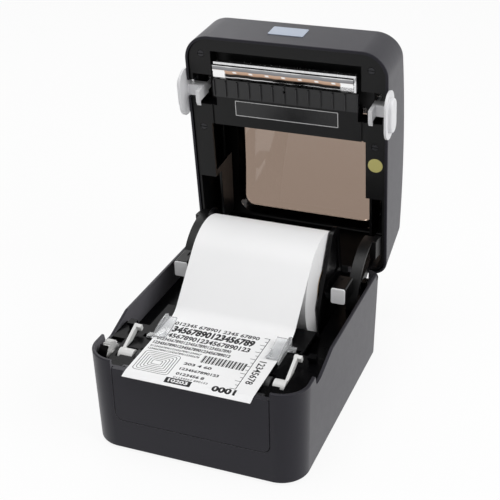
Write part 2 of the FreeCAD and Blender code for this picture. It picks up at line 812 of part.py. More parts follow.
def wrap_arc(radius, first, last):
    middle = (first + last) / 2
    return Part.Arc(wrap_spot(radius, first), wrap_spot(radius, middle), wrap_spot(radius, last)).toShape()


over_top = [V(-label_half, bend_y, web_top), V(-label_half, exit_y, web_top),
            V(-label_half, tip_y, web_top - web_droop)]
under = [V(-label_half, tip_y, web_z - web_droop), V(-label_half, exit_y, web_z),
         V(-label_half, bend_y, web_z)]
inner = clear_roll
outer = clear_roll + web_thickness
low_bend = web_bend + web_thickness
web_edges = [
    wrap_arc(outer, wrap_last, wrap_turn),
    Part.makeLine(wrap_spot(outer, wrap_turn), bend_spot(web_bend, ramp)),
    Part.Arc(bend_spot(web_bend, ramp), bend_spot(web_bend, ramp / 2), over_top[0]).toShape()]
web_edges += [Part.makeLine(over_top[k], over_top[k + 1]) for k in range(2)]
web_edges.append(Part.makeLine(over_top[2], under[0]))
web_edges += [Part.makeLine(under[k], under[k + 1]) for k in range(2)]
web_edges += [
    Part.Arc(under[2], bend_spot(low_bend, ramp / 2), bend_spot(low_bend, ramp)).toShape(),
    Part.makeLine(bend_spot(low_bend, ramp), wrap_spot(inner, wrap_turn)),
    wrap_arc(inner, wrap_turn, wrap_last),
    Part.makeLine(wrap_spot(inner, wrap_last), wrap_spot(outer, wrap_last))]
web_face = Part.Face(Part.Wire(web_edges))
nodes["label_web"] = web_face.extrude(V(label_width, 0, 0))

# Platen: steel shaft, rubber sleeve and nylon gear turn together
nodes["platen_shaft"] = rod_x(platen_shaft_radius, gear_x - 0.4, shaft_right_x, platen_y, platen_z)
sleeve = rod_x(platen_radius, -label_half - 3.5, label_half + 3.5, platen_y, platen_z)
nodes["platen_rubber"] = sleeve.cut(rod_x(platen_shaft_radius, -label_half - 5, label_half + 5,
                                          platen_y, platen_z))

# Gear train at the left: each gear has a space where its neighbour has a tooth
idler_turn = -45.0
idler_reach = gear_module * (platen_teeth + idler_teeth) / 2
idler_y = platen_y + idler_reach * math.cos(math.radians(idler_turn))
idler_z = platen_z + idler_reach * math.sin(math.radians(idler_turn))
pinion_turn = -90.0
pinion_reach = gear_module * (idler_teeth + pinion_teeth) / 2
motor_y = idler_y + pinion_reach * math.cos(math.radians(pinion_turn))
motor_z = idler_z + pinion_reach * math.sin(math.radians(pinion_turn))
idler_phase = idler_turn + 180.0 + 180.0 / idler_teeth
tooth_step = 360.0 / idler_teeth
past_tooth = (idler_phase - pinion_turn) % tooth_step
pinion_phase = pinion_turn + 180.0 - past_tooth * idler_teeth / pinion_teeth + 180.0 / pinion_teeth
idler_stud_radius = 2.0
nodes["platen_gear"] = gear_across(platen_teeth, platen_shaft_radius, idler_turn, platen_y, platen_z)
nodes["idler_gear"] = gear_across(idler_teeth, idler_stud_radius + running_gap, idler_phase,
                                  idler_y, idler_z)
nodes["motor_pinion"] = gear_across(pinion_teeth, motor_shaft_radius, pinion_phase, motor_y, motor_z)

plate_x = gear_end_x + 1.9
plate_end_x = plate_x + gear_plate_thickness
half_motor = motor_size / 2
motor_end_x = plate_end_x + motor_length
nodes["idler_stud"] = rod_x(idler_stud_radius, gear_x - 0.4, plate_x, idler_y, idler_z)
shaft_depth = 5.0
nodes["motor_shaft"] = rod_x(motor_shaft_radius, gear_x - 0.2, plate_end_x + shaft_depth,
                             motor_y, motor_z)
plate_outline = [(motor_y - half_motor - 2, plate_top), (motor_y + half_motor, plate_top),
                 (motor_y + half_motor, motor_z + half_motor), (idler_y + 6, idler_z + 9),
                 (idler_y - 8, idler_z + 9), (motor_y - half_motor - 2, motor_z + 10)]
gear_plate = slab_x(plate_outline, plate_x, plate_end_x)
gear_plate = joined(gear_plate, box(plate_end_x - 0.1, plate_end_x + 10, motor_y - half_motor - 2,
                                    motor_y + half_motor, plate_top, plate_top + gear_plate_thickness))
gear_plate = gear_plate.cut(rod_x(motor_boss_radius + 0.2, plate_x - 1, plate_end_x + 1,
                                  motor_y, motor_z))
motor = box(plate_end_x, motor_end_x, motor_y - half_motor, motor_y + half_motor,
            motor_z - half_motor, motor_z + half_motor)
motor = motor.makeChamfer(4.0, [e for e in motor.Edges if abs(e.Length - motor_length) < 0.01])
motor = joined(motor, rod_x(motor_boss_radius, plate_x, plate_end_x + 1, motor_y, motor_z))
motor = motor.cut(rod_x(motor_shaft_radius + running_gap, plate_x - 1, plate_end_x + shaft_depth + 0.5,
                        motor_y, motor_z))
motor_screws = []
for side in (-1, 1):
    for end in (-1, 1):
        y = motor_y + side * motor_hole_pitch / 2
        z = motor_z + end * motor_hole_pitch / 2
        hole = rod_x(screw_radius, plate_x - 1, plate_end_x + 8, y, z)
        gear_plate = gear_plate.cut(hole)
        motor = motor.cut(hole)
        motor_screws.append(joined(rod_x(screw_radius, plate_x, plate_end_x + 8, y, z),
                                   rod_x(screw_head_radius, plate_x - screw_head_height, plate_x, y, z)))
nodes["gear_plate"] = gear_plate
nodes["stepper_motor"] = motor
nodes["motor_screws"] = Part.makeCompound(motor_screws)


def platen_lever(x0, x1, arm_x0, arm_x1, tab_x0, tab_x1):
    # A bearing bush with a release arm that rises to the rear and ends in a finger tab
    bush = rod_x(bush_radius, x0, x1, platen_y, platen_z)
    half = lever_width / 2
    arm = box(arm_x0, arm_x1, 0, lever_length, -half, half)
    tab = box(tab_x0, tab_x1, lever_length - lever_tab_depth, lever_length, -half, half)
    arm = joined(arm, tab.makeFillet(0.8, [e for e in tab.Edges if abs(e.Length - (tab_x1 - tab_x0)) < 0.01]))
    arm.rotate(V(0, 0, 0), X_AXIS, lever_angle)
    arm.translate(V(0, platen_y, platen_z))
    bore = rod_x(platen_shaft_radius + running_gap, x0 - 1, x1 + 1, platen_y, platen_z)
    return joined(bush, arm).cut(bore)


tab_inner = rib_half_width + 0.5
nodes["platen_lever_right"] = platen_lever(
    right_bush_x[0], right_bush_x[1], right_bush_x[1] - lever_thickness, right_bush_x[1],
    tab_inner, tab_inner + lever_tab_width)
nodes["platen_lever_left"] = platen_lever(
    left_bush_x[0], left_bush_x[1], left_bush_x[0], left_bush_x[0] + lever_thickness,
    -tab_inner - lever_tab_width, -tab_inner)

# Roll holders: a tapered arm with a hub, a finger grip and a rack under the tub
arm_low = roll_z - roll_radius + 3
arm_top = roll_z + roll_radius - 0.5
arm_outline = [(roll_y - 14, arm_low), (roll_y + 14, arm_low), (roll_y + roll_radius - 3, roll_z - 11),
               (roll_y + 29.5, arm_top - 5.5), (roll_y + 24, arm_top), (roll_y + 16, arm_top),
               (roll_y + 11, arm_top - 3), (roll_y - 21, roll_z - 11)]
hollow_outline = [(roll_y - 3, roll_z + 2), (roll_y + 31, roll_z + 2), (roll_y + 24, arm_top - 9.5),
                  (roll_y + 17, arm_top - 7.5)]
grip_low = rim_z - grip_drop
grip_top = grip_low + grip_height
for side, name in ((-1, "roll_guide_left"), (1, "roll_guide_right")):
    arm = slab_x(arm_outline, side * holder_x, side * holder_outer_x)
    arm = arm.cut(slab_x(hollow_outline, side * (holder_outer_x - 1.2), side * (holder_outer_x + 1)))
    hub = rod_x(core_bore - hub_gap, min(side * (holder_x - hub_depth), side * holder_x),
                max(side * (holder_x - hub_depth), side * holder_x), roll_y, roll_z)
    grip = sided_box(side, grip_inner_x, grip_inner_x + grip_width, grip_front, grip_front + grip_depth,
                     grip_low, grip_top)
    grip = grip.makeFillet(1.6, [e for e in grip.Edges if e.BoundBox.ZMax > grip_low + 1])
    dimple = sided_box(side, grip_inner_x + 3, grip_inner_x + 6, grip_front + 12, grip_front + 18,
                       grip_top - 1, grip_top + 1)
    bridge = sided_box(side, holder_outer_x, grip_inner_x + 1, grip_front + 5, grip_front + 18,
                       grip_low, grip_low + 5.5)
    near = roll_y + side * holder_bar
    far = roll_y + side * (holder_bar + rack_width)
    neck = sided_box(side, holder_x, holder_outer_x, min(near, far), max(near, far),
                     rack_z, arm_low + 1)
    bar = rack(holder_pinion_module, -5, 3, holder_outer_x, rack_width, rack_thickness)
    bar.translate(V(0, holder_pitch, rack_z))
    if side < 0:
        bar.rotate(V(0, 0, 0), Z_AXIS, 180)
    bar.translate(V(0, roll_y, 0))
    nodes[name] = less(joined(arm, hub, bridge, grip, neck, bar), dimple)

holder_wheel = gear(holder_pinion_teeth, holder_pinion_module, rack_thickness,
                    stud_radius + running_gap, 90)
holder_wheel.translate(V(0, roll_y, rack_z))
nodes["guide_pinion"] = holder_wheel

# Clear guides beside the web: a fin at the label's edge, a curved wing over it and a foot
fin_z = deck_z + moulding_gap
fin = [(edge_front, fin_z), (edge_front + edge_length, fin_z), (edge_front + edge_length, rim_z - 0.5),
       (edge_front + edge_length - 3, rim_z + 0.8), (edge_front + 18, rim_z), (edge_front + 8, rim_z - 2.5),
       (edge_front + 2, rim_z - 4.6), (edge_front, rim_z - 5.2)]
wing_low = web_top + 0.4
wing = [(edge_front + 1, wing_low), (edge_front + 12, wing_low), (edge_front + 20, wing_low + 1.6),
        (edge_front + 26, rim_z - 1.2), (edge_front + 26, rim_z), (edge_front + 19, wing_low + 2.9),
        (edge_front + 12, wing_low + 1.2), (edge_front + 1, wing_low + 1.2)]
wing_reach = 9.5
for side, name in ((-1, "edge_guide_left"), (1, "edge_guide_right")):
    wall = slab_x(fin, side * edge_x, side * (edge_x + edge_thickness))
    flap = slab_x(wing, side * (edge_x - wing_reach), side * (edge_x + 0.2))
    near = edge_pinion_y + side * edge_bar
    far = edge_pinion_y + side * (edge_bar + rack_width)
    foot = sided_box(side, edge_x + 0.2, edge_neck_x + edge_neck + 0.6, min(near, far) - 1,
                     max(near, far) + 1, fin_z, fin_z + edge_thickness)
    neck = sided_box(side, edge_neck_x, edge_neck_x + edge_neck, min(near, far), max(near, far),
                     edge_rack_z, fin_z + 0.5)
    bar = rack(edge_pinion_module, -5, 3, edge_neck_x + edge_neck, rack_width, edge_rack_thickness)
    bar.translate(V(0, edge_pitch, edge_rack_z))
    if side < 0:
        bar.rotate(V(0, 0, 0), Z_AXIS, 180)
    bar.translate(V(0, edge_pinion_y, 0))
    nodes[name] = joined(wall, flap, foot, neck, bar)

edge_wheel = gear(edge_pinion_teeth, edge_pinion_module, edge_rack_thickness,
                  stud_radius + running_gap, 90)
edge_wheel.translate(V(0, edge_pinion_y, edge_rack_z))
nodes["edge_guide_pinion"] = edge_wheel

# Board, sockets and power switch on the rear wall
board = box(-board_half_width, board_half_width, -half_d + 17.5, half_d - 6.5, board_z, socket_z)
nodes["main_board"] = board.fuse(box(-20, 0, -60, -40, socket_z - 0.1, socket_z + 1.2)).removeSplitter()
jack = box(jack_x - 7, jack_x + 7, half_d - 18, half_d - 0.5, socket_z, socket_z + 12)
jack = jack.cut(rod_y(3.6, jack_x, half_d - 12, half_d, socket_z + 6))
nodes["power_jack"] = joined(jack, rod_y(1.0, jack_x, half_d - 13, half_d - 2, socket_z + 6))
usb = box(usb_x - 6, usb_x + 6, half_d - 17, half_d - 0.5, socket_z, socket_z + 11)
usb = usb.cut(box(usb_x - 4.3, usb_x + 4.3, half_d - 10, half_d, socket_z + 1.6, socket_z + 9.4))
nodes["usb_port"] = joined(usb, box(usb_x - 2.8, usb_x + 2.8, half_d - 11, half_d - 2,
                                    socket_z + 3.9, socket_z + 7.1))

rear_face = half_d - draft * (rim_z - switch_z)
switch = joined(box(switch_x - switch_width / 2 + 0.2, switch_x + switch_width / 2 - 0.2,
                    half_d - switch_depth, rear_face + 0.5, switch_z - switch_height / 2 + 0.2,
                    switch_z + switch_height / 2 - 0.2),
                box(switch_x - switch_width / 2 - 1.2, switch_x + switch_width / 2 + 1.2,
                    rear_face + 0.3, rear_face + 1.5, switch_z - switch_height / 2 - 1.2,
                    switch_z + switch_height / 2 + 1.2))
rocker_half = switch_height / 2 - 2.0
rocker_y = rear_face - 1.0
cavity_half = math.hypot(rocker_half, 3.0) + 0.2
switch = less(switch, box(switch_x - switch_width / 2 + 1.8, switch_x + switch_width / 2 - 1.8,
                          half_d - switch_depth + 3, base_depth, switch_z - cavity_half,
                          switch_z + cavity_half))
axle_x = switch_width / 2 - 0.6
rocker_points = [(-3.0, -rocker_half), (1.9, -rocker_half), (0.8, 0), (1.9, rocker_half), (-3.0, rocker_half)]
rocker = slab_x(rocker_points, -switch_width / 2 + 2.0, switch_width / 2 - 2.0)
rocker = joined(rocker, rod_x(1.0, -axle_x, axle_x, -1.2, 0))
rocker.rotate(V(0, 0, 0), X_AXIS, -rocker_tilt)
axle = V(0, -1.2, 0)
axle_turned = FreeCAD.Rotation(X_AXIS, -rocker_tilt).multVec(axle)
rocker.translate(V(switch_x, rocker_y, switch_z))
axle_y = rocker_y + axle_turned.y
axle_z = switch_z + axle_turned.z
switch = switch.cut(rod_x(1.0 + running_gap, switch_x - axle_x - 0.1, switch_x + axle_x + 0.1,
                          axle_y, axle_z))
nodes["power_switch_body"] = switch
nodes["power_rocker"] = rocker

# Hinge pins
for side, name in ((-1, "hinge_pin_left"), (1, "hinge_pin_right")):
    pin = rod_x(hinge_pin_radius, min(side * post_inner_x, side * post_outer_x),
                max(side * post_inner_x, side * post_outer_x), hinge_y, hinge_z)
    nodes[name] = pin
    nodes["media_tub"] = nodes["media_tub"].cut(pin)

# Lid shell with its window opening, latch openings, screw bosses and button holes
lid_outer = lid_block(0)
lid_inner = lid_block(case_wall)
liner_room = lid_block(case_wall + moulding_gap)
lid_screw_places = []
for side in (-1, 1):
    lid_screw_places.append((side * (half_w - 11.5), window_front + 2))
    lid_screw_places.append((side * (half_w - 14.5), -half_d + 16.5))
boss_top = rim_z + lid_height


def window_block(grow):
    wire = plan_wire(window_half_width + grow, window_front - grow, window_rear + grow,
                     window_corner + grow, window_corner + grow, rim_z + 20)
    return Part.Face(wire).extrude(V(0, 0, lid_height))


lower_edges = [e for e in lid_outer.Edges if e.BoundBox.ZMax < rim_z + lid_gap + 0.01]
shell = lid_outer.makeFillet(rim_round, lower_edges)
shell = shell.cut(lid_inner)
shell = shell.cut(window_block(0))
boss_room = lid_block(case_wall - 1)
for x, y in lid_screw_places:
    boss = rod_z(column_radius, x, y, liner_z + liner_thickness, boss_top).common(boss_room)
    shell = shell.fuse(boss)
board_post_places = [(feed_x - 22, feed_y + 7), (feed_x + 8, feed_y + 7)]
for x, y in board_post_places:
    shell = shell.fuse(rod_z(2.5, x, y, rim_z + board_lift, boss_top).common(boss_room))
shell = shell.removeSplitter()
for x, y in lid_screw_places:
    shell = shell.cut(rod_z(screw_radius, x, y, liner_z, liner_z + screw_length + 4))
stem_half = latch_hook_depth / 2
stem_low = rim_z + 3.0
stem_high = rim_z + 12.0
latch_openings = []
for side in (-1, 1):
    latch_openings.append(sided_box(side, half_w - 8, half_w + 5,
                                    latch_y - stem_half - latch_travel - latch_slot_gap,
                                    latch_y + stem_half + latch_slot_gap, rim_z - 1,
                                    stem_high + latch_slot_gap))
shell = less(shell, latch_openings[0], latch_openings[1],
             rod_z(feed_radius + feed_gap, feed_x, feed_y, rim_z + 20, boss_top + 5),
             rod_z(light_radius, light_x, feed_y, rim_z + 20, boss_top + 5))
nodes["lid_shell"] = shell

# Smoked window: a pane in the opening on a wider flange behind the shell
pane = lid_block(moulding_gap).cut(lid_block(case_wall + moulding_gap + window_flange_thickness))
pane = pane.common(window_block(-0.2))
flange = lid_block(case_wall + moulding_gap)
flange = flange.cut(lid_block(case_wall + moulding_gap + window_flange_thickness))
flange = flange.common(window_block(window_flange))
nodes["lid_window"] = joined(pane, flange)

# Lid liner: frame plate, panel, roof over the head, skirt and hinge ears
wide = base_width
plate = liner_room.common(box(-wide, wide, -base_depth, liner_strip_end, liner_z,
                              liner_z + liner_thickness))
opening_rear = rib_front + rib_depth + 1.0
plate = less(plate,
             box(-liner_window, liner_window, liner_panel_rear, base_depth, liner_z - 1, roof_z),
             box(-bay_half, bay_half, liner_front_bar, opening_rear, liner_z - 1, roof_z))
roof_top = roof_z + roof_thickness
roof = box(-roof_half, roof_half, liner_front_bar - 2, opening_rear + 1.5, roof_z, roof_top)
front_wall = box(-roof_half, roof_half, liner_front_bar - 2, liner_front_bar, liner_z, roof_top)
rear_wall = box(-rib_half_width + 4, rib_half_width - 4, opening_rear, opening_rear + 1.5,
                liner_z, roof_top)
skirt = liner_room.cut(lid_block(case_wall + moulding_gap + tub_wall))
skirt = skirt.common(box(-wide, wide, skirt_front, base_depth, liner_z, rim_z + skirt_height))
skirt = skirt.cut(box(-well_half - 1, well_half + 1, roll_y, base_depth, 0, rim_z + lid_height))
liner = joined(plate, roof, front_wall, rear_wall, skirt)
latch_spring_z = roof_z + 7.0
latch_seat_y = latch_y - latch_seat_reach
for side in (-1, 1):
    end_wall = sided_box(side, bay_half, roof_half, liner_front_bar - 2, head_front + head_depth,
                         liner_z, roof_top)
    seat = sided_box(side, rib_half_width, hook_outer_x + 2, latch_seat_y - 2, latch_seat_y,
                     roof_z, latch_spring_z + 4.5)
    ear_points = [(hinge_y - ear_radius, hinge_z), (hinge_y - 9.5, liner_z), (hinge_y - 9.5, liner_z + 12),
                  (hinge_y - 5.0, liner_z + 12), (hinge_y - 3.2, liner_z),
                  (hinge_y + ear_radius, hinge_z)]
    ear = joined(slab_x(ear_points, side * ear_inner_x, side * ear_outer_x),
                 rod_x(ear_radius, min(side * ear_inner_x, side * ear_outer_x),
                       max(side * ear_inner_x, side * ear_outer_x), hinge_y, hinge_z))
    stay = sector_x(side * stay_inner_x, side * stay_outer_x, hinge_y, hinge_z,
                    stay_radius - stay_thickness, stay_radius, open_angle + stay_start,
                    open_angle + stay_end)
    stay_rib = sector_x(side * (stay_outer_x - 2), side * (half_w - case_wall - 2.1), hinge_y, hinge_z,
                        stay_radius - 17, stay_radius, open_angle + 56, open_angle + 94)
    fin_low = rim_z + liner_fin_low + 2
    fin_high = fin_low + liner_fin_height - 2
    fin_rear = half_d - liner_fin_rear
    fin_points = [(liner_strip_end - 6, liner_z), (liner_strip_end, liner_z), (liner_strip_end, fin_low),
                  (fin_rear, fin_low), (fin_rear, fin_high - 4), (liner_strip_end - 6, fin_high)]
    fin = slab_x(fin_points, side * liner_window, side * (liner_window + tub_wall))
    pocket_rear = latch_y + latch_pocket_rear
    pocket_inner_x = rib_half_width - 1
    side_roof = sided_box(side, roof_half - 1, latch_hook_inner_x - 1,
                          latch_y - latch_pocket_front - latch_pocket_wall, pocket_rear + latch_pocket_wall,
                          roof_z, roof_top)
    pocket_back = liner_room.common(sided_box(side, pocket_inner_x - latch_pocket_wall, half_w,
                                              pocket_rear, pocket_rear + latch_pocket_wall,
                                              liner_z, roof_top))
    pocket_side = sided_box(side, pocket_inner_x - latch_pocket_wall, pocket_inner_x, opening_rear,
                            pocket_rear + latch_pocket_wall, liner_z, roof_top)
    liner = joined(liner, end_wall, seat, ear, stay, stay_rib, fin, side_roof, pocket_back, pocket_side)
    liner = less(liner,
                 sided_box(side, pocket_inner_x, half_w - 5.4, latch_y - latch_pocket_front, pocket_rear,
                           liner_z - 1, liner_z + liner_thickness + 1),
                 sided_box(side, bay_half, bay_half + liner_groove, opening_rear - 1, liner_panel_rear + 1,
                           liner_z - 1, liner_z + liner_groove_depth),
                 rod_x(hinge_pin_radius + running_gap, -half_w, half_w, hinge_y, hinge_z))
liner = less(liner, latch_openings[0], latch_openings[1])
head_z = web_top + head_to_web
for x, y in lid_screw_places:
    liner = less(liner, rod_z(screw_radius, x, y, liner_z - 1, liner_z + liner_thickness + 1),
                 rod_z(screw_head_radius + 0.3, x, y, liner_z - 1, liner_z + screw_head_height + 0.1))
nodes["lid_liner"] = liner.removeSplitter()
lid_screws = [screw(x, y, liner_z + screw_head_height + 0.1, 1) for x, y in lid_screw_places]
nodes["lid_screws"] = Part.makeCompound(lid_screws)

# Ribbed guide behind the head, on two posts from the roof
rib_low = rim_z - rib_height
ribs = box(-rib_half_width, rib_half_width, rib_front, rib_front + rib_depth, rim_z, rim_z + rib_plate)
for k in range(rib_count):
    x = -rib_half_width + rib_width / 2 + k * (2 * rib_half_width - rib_width) / (rib_count - 1)
    ribs = ribs.fuse(box(x - rib_width / 2, x + rib_width / 2, rib_front + 1, rib_front + rib_depth - 1,
                         rib_low, rim_z))
for side in (-1, 1):
    ribs = ribs.fuse(rod_z(3.5, side * (rib_half_width - 19), rib_front + rib_depth / 2, rim_z + 1, roof_z))
ribs = ribs.cut(rod_z(1.2, 0, rib_front + 5, rib_low - 1, roof_z))
nodes["ribbed_guide"] = ribs.removeSplitter()

# Print head: bright cover and ceramic strip under a floating bracket
head_rear = head_front + head_depth
ceramic_rear = head_front + 5.2
bracket_z = head_z + head_cover_height
nodes["print_head_ceramic"] = box(-head_half_width, head_half_width, head_front, ceramic_rear,
                                  head_z, bracket_z)
cover_points = [(ceramic_rear, head_z + 1.4), (ceramic_rear + 2.2, head_z + 0.5),
                (head_rear - 2.2, head_z + 0.9), (head_rear, head_z + 2.6), (head_rear, bracket_z),
                (ceramic_rear, bracket_z)]
nodes["print_head_cover"] = slab_x(cover_points, -head_half_width, head_half_width)
bracket_top = bracket_z + head_bracket_height
nodes["print_head_bracket"] = box(-head_half_width - 1, head_half_width + 1, head_front - 1, head_rear + 0.6,
                                  bracket_z, bracket_top)
head_spring_y = head_front + head_depth / 2
for side, name in ((-1, "head_spring_left"), (1, "head_spring_right")):
    head_spring_x = side * (head_half_width - head_spring_inset)
    nodes[name] = coil(V(head_spring_x, head_spring_y, bracket_top), Z_AXIS, roof_z - bracket_top)

# Latches: outer plate and cap, stem through the wall, hook to the rear and spring finger
latch_z = rim_z - 1.5
flange_x = half_w + 0.3
cap_x = flange_x + latch_flange + latch_cap_depth
hook_low = deck_z + 0.4
hook_top = rim_z - 5.4
lip_points = [(hook_rear_y - 0.5, hook_low), (hook_rear_y + 0.8, hook_low),
              (hook_rear_y + latch_lip, hook_top - 1), (hook_rear_y + latch_lip, hook_top),
              (hook_rear_y - 0.5, hook_top)]
finger_half = 2.5
for side, name, spring in ((-1, "latch_button_left", "latch_spring_left"),
                           (1, "latch_button_right", "latch_spring_right")):
    plate = oval_block(side, flange_x, flange_x + latch_flange, latch_y, latch_z, latch_length, latch_height)
    cap = oval_block(side, flange_x + latch_flange - 0.1, cap_x, latch_y, latch_z,
                     latch_cap_length, latch_cap_height)
    rim = [e for e in cap.Edges if abs(e.BoundBox.XMax - e.BoundBox.XMin) < 0.01
           and abs(abs(e.BoundBox.XMin) - cap_x) < 0.01]
    cap = cap.makeFillet(1.6, rim)
    stem = sided_box(side, hook_outer_x - 1, flange_x + 0.1, latch_y - stem_half, hook_rear_y,
                     stem_low, stem_high)
    hook = sided_box(side, latch_hook_inner_x, hook_outer_x, latch_y - stem_half, hook_rear_y,
                     hook_low, stem_high)
    lip = slab_x(lip_points, side * latch_hook_inner_x, side * hook_outer_x)
    finger = sided_box(side, latch_hook_inner_x, hook_outer_x, latch_y - finger_half,
                       latch_y + finger_half, stem_high - 0.5, latch_spring_z + 4.5)
    nodes[name] = joined(plate, cap, stem, hook, lip, finger)
    nodes[spring] = coil(V(side * (latch_hook_inner_x + hook_outer_x) / 2, latch_seat_y, latch_spring_z),
                         Y_AXIS, latch_y - finger_half - latch_seat_y)

# Feed button, its board and the status light
feed_top = lid_block(-0.9)
button = rod_z(feed_radius, feed_x, feed_y, rim_z + 38, boss_top + 5).common(feed_top)
button = button.cut(rod_z(feed_radius - 1.5, feed_x, feed_y, rim_z + 37, rim_z + 46))
nodes["feed_button"] = joined(button, rod_z(1.5, feed_x, feed_y, rim_z + board_lift + feed_travel + 1.0,
                                            rim_z + 47))
nodes["button_board"] = box(feed_x - 26, feed_x + 9.5, feed_y - 4, feed_y + 10,
                            rim_z + board_lift - board_thickness, rim_z + board_lift)
nodes["status_light"] = rod_z(light_radius, light_x, feed_y, rim_z + board_lift, boss_top).common(lid_outer)

# Turn the lid's pieces open, then centre everything on the outline
lid_nodes = ["lid_shell", "lid_window", "lid_liner", "lid_screws", "ribbed_guide", "print_head_ceramic",
             "print_head_cover", "print_head_bracket", "head_spring_left", "head_spring_right",
             "latch_button_left", "latch_button_right", "latch_spring_left", "latch_spring_right",
             "feed_button", "button_board", "status_light"]
for name in lid_nodes:
    nodes[name] = nodes[name].copy()
    nodes[name].rotate(V(0, hinge_y, hinge_z), X_AXIS, -open_angle)
whole = Part.makeCompound(list(nodes.values())).optimalBoundingBox(False, False)
shift = V(0, -(whole.YMin + whole.YMax) / 2, 0)
os.makedirs("parts", exist_ok=True)
for name, shape in nodes.items():
    shape = shape.copy()
    shape.translate(shift)
    shape.exportStep("parts/" + name + ".step")
    print(name, len(shape.Solids), "solids", round(shape.Volume, 1), "mm3, valid", shape.isValid())

# Places that the joints use, in millimetres in the finished frame
places = {
    "shift_y": shift.y,
    "hinge": (hinge_y + shift.y, hinge_z),
    "platen": (platen_y + shift.y, platen_z),
    "idler": (idler_y + shift.y, idler_z),
    "motor": (motor_y + shift.y, motor_z),
    "roll": (roll_y + shift.y, roll_z),
    "edge_pinion": (edge_pinion_y + shift.y, edge_rack_z),
    "rocker": (axle_y + shift.y, axle_z),
    "foot": (foot_places[0][0], foot_places[0][1] + shift.y),
    "outline": (whole.XMin, whole.XMax, whole.YMin + shift.y, whole.YMax + shift.y, whole.ZMax),
}
for name, place in places.items():
    print("place", name, place)
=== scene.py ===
import json
import math
import bmesh
import bpy
from mathutils import Matrix, Vector
from mathutils.bvhtree import BVHTree


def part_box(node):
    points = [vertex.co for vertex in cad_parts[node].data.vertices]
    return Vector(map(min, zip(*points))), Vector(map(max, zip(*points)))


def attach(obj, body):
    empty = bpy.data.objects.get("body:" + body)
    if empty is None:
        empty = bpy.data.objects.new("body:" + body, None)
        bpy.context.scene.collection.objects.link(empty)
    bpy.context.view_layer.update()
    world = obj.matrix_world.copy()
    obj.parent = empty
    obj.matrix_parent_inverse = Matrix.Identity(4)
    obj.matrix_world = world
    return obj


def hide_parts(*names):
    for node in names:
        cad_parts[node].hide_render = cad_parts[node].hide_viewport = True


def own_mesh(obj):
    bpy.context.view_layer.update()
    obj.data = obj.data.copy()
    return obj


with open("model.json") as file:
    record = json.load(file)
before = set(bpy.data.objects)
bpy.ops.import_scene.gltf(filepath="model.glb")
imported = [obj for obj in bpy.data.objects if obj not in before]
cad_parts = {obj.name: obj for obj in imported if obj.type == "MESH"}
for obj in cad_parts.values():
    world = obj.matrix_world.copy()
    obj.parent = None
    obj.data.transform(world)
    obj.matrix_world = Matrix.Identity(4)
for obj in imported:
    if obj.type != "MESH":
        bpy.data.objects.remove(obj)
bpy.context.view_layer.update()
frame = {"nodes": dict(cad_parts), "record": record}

# Outer case of the base: one injection moulding in charcoal ABS with a fine spark-eroded grain.
# Its top and bottom edges are rounded in the mould, and the bottom plate closes it from below.
# The front panel, in the same plastic, fills the gap in its front wall. The same plastic inside
# the case is painted a much lighter grey: painted light on the inner walls.
CHARCOAL = (0.0090, 0.0087, 0.0118)
COOL_TINT = (0.92, 0.90, 1.0)
CASE_GLOSS = 0.22
SHEEN = 0.12
CASE_RADIUS = 0.0001
EDGE_ANGLE = math.radians(35)
EDGE_STEPS = 2
MERGE_REACH = 0.000001
NOISE_LOW = 0.3
NOISE_HIGH = 0.7
SHADE_SCALE = 22.0
PATCH_SCALE = 140.0
PATCH_SWING = 0.015


def shader_of(name, colour, roughness, gloss=0.5):
    material = bpy.data.materials.new(name)
    material.use_nodes = True
    shader = material.node_tree.nodes["Principled BSDF"]
    shader.inputs["Base Color"].default_value = (*colour, 1)
    shader.inputs["Roughness"].default_value = roughness
    shader.inputs["Specular IOR Level"].default_value = gloss
    return material, shader


def noise_in(material, scale, detail=2.0, stretch=(1, 1, 1)):
    nodes = material.node_tree.nodes
    links = material.node_tree.links
    place = nodes.new("ShaderNodeTexCoord")
    turn = nodes.new("ShaderNodeMapping")
    turn.inputs["Scale"].default_value = stretch
    noise = nodes.new("ShaderNodeTexNoise")
    noise.inputs["Scale"].default_value = scale
    noise.inputs["Detail"].default_value = detail
    links.new(place.outputs["Object"], turn.inputs["Vector"])
    links.new(turn.outputs["Vector"], noise.inputs["Vector"])
    return noise.outputs["Fac"]


def ramp_in(material, source, stops):
    ramp = material.node_tree.nodes.new("ShaderNodeValToRGB")
    elements = ramp.color_ramp.elements
    while len(elements) < len(stops):
        elements.new(0.5)
    for element, (place, colour) in zip(elements, stops):
        element.position = place
        element.color = (*colour, 1)
    material.node_tree.links.new(source, ramp.inputs["Fac"])
    return ramp.outputs["Color"]


def range_in(material, source, low, high, start=NOISE_LOW, end=NOISE_HIGH):
    span = material.node_tree.nodes.new("ShaderNodeMapRange")
    span.inputs["From Min"].default_value = start
    span.inputs["From Max"].default_value = end
    span.inputs["To Min"].default_value = low
    span.inputs["To Max"].default_value = high
    material.node_tree.links.new(source, span.inputs["Value"])
    return span.outputs["Result"]


def bump_in(material, shader, source, height):
    bump = material.node_tree.nodes.new("ShaderNodeBump")
    bump.inputs["Distance"].default_value = height
    material.node_tree.links.new(source, bump.inputs["Height"])
    material.node_tree.links.new(bump.outputs["Normal"], shader.inputs["Normal"])


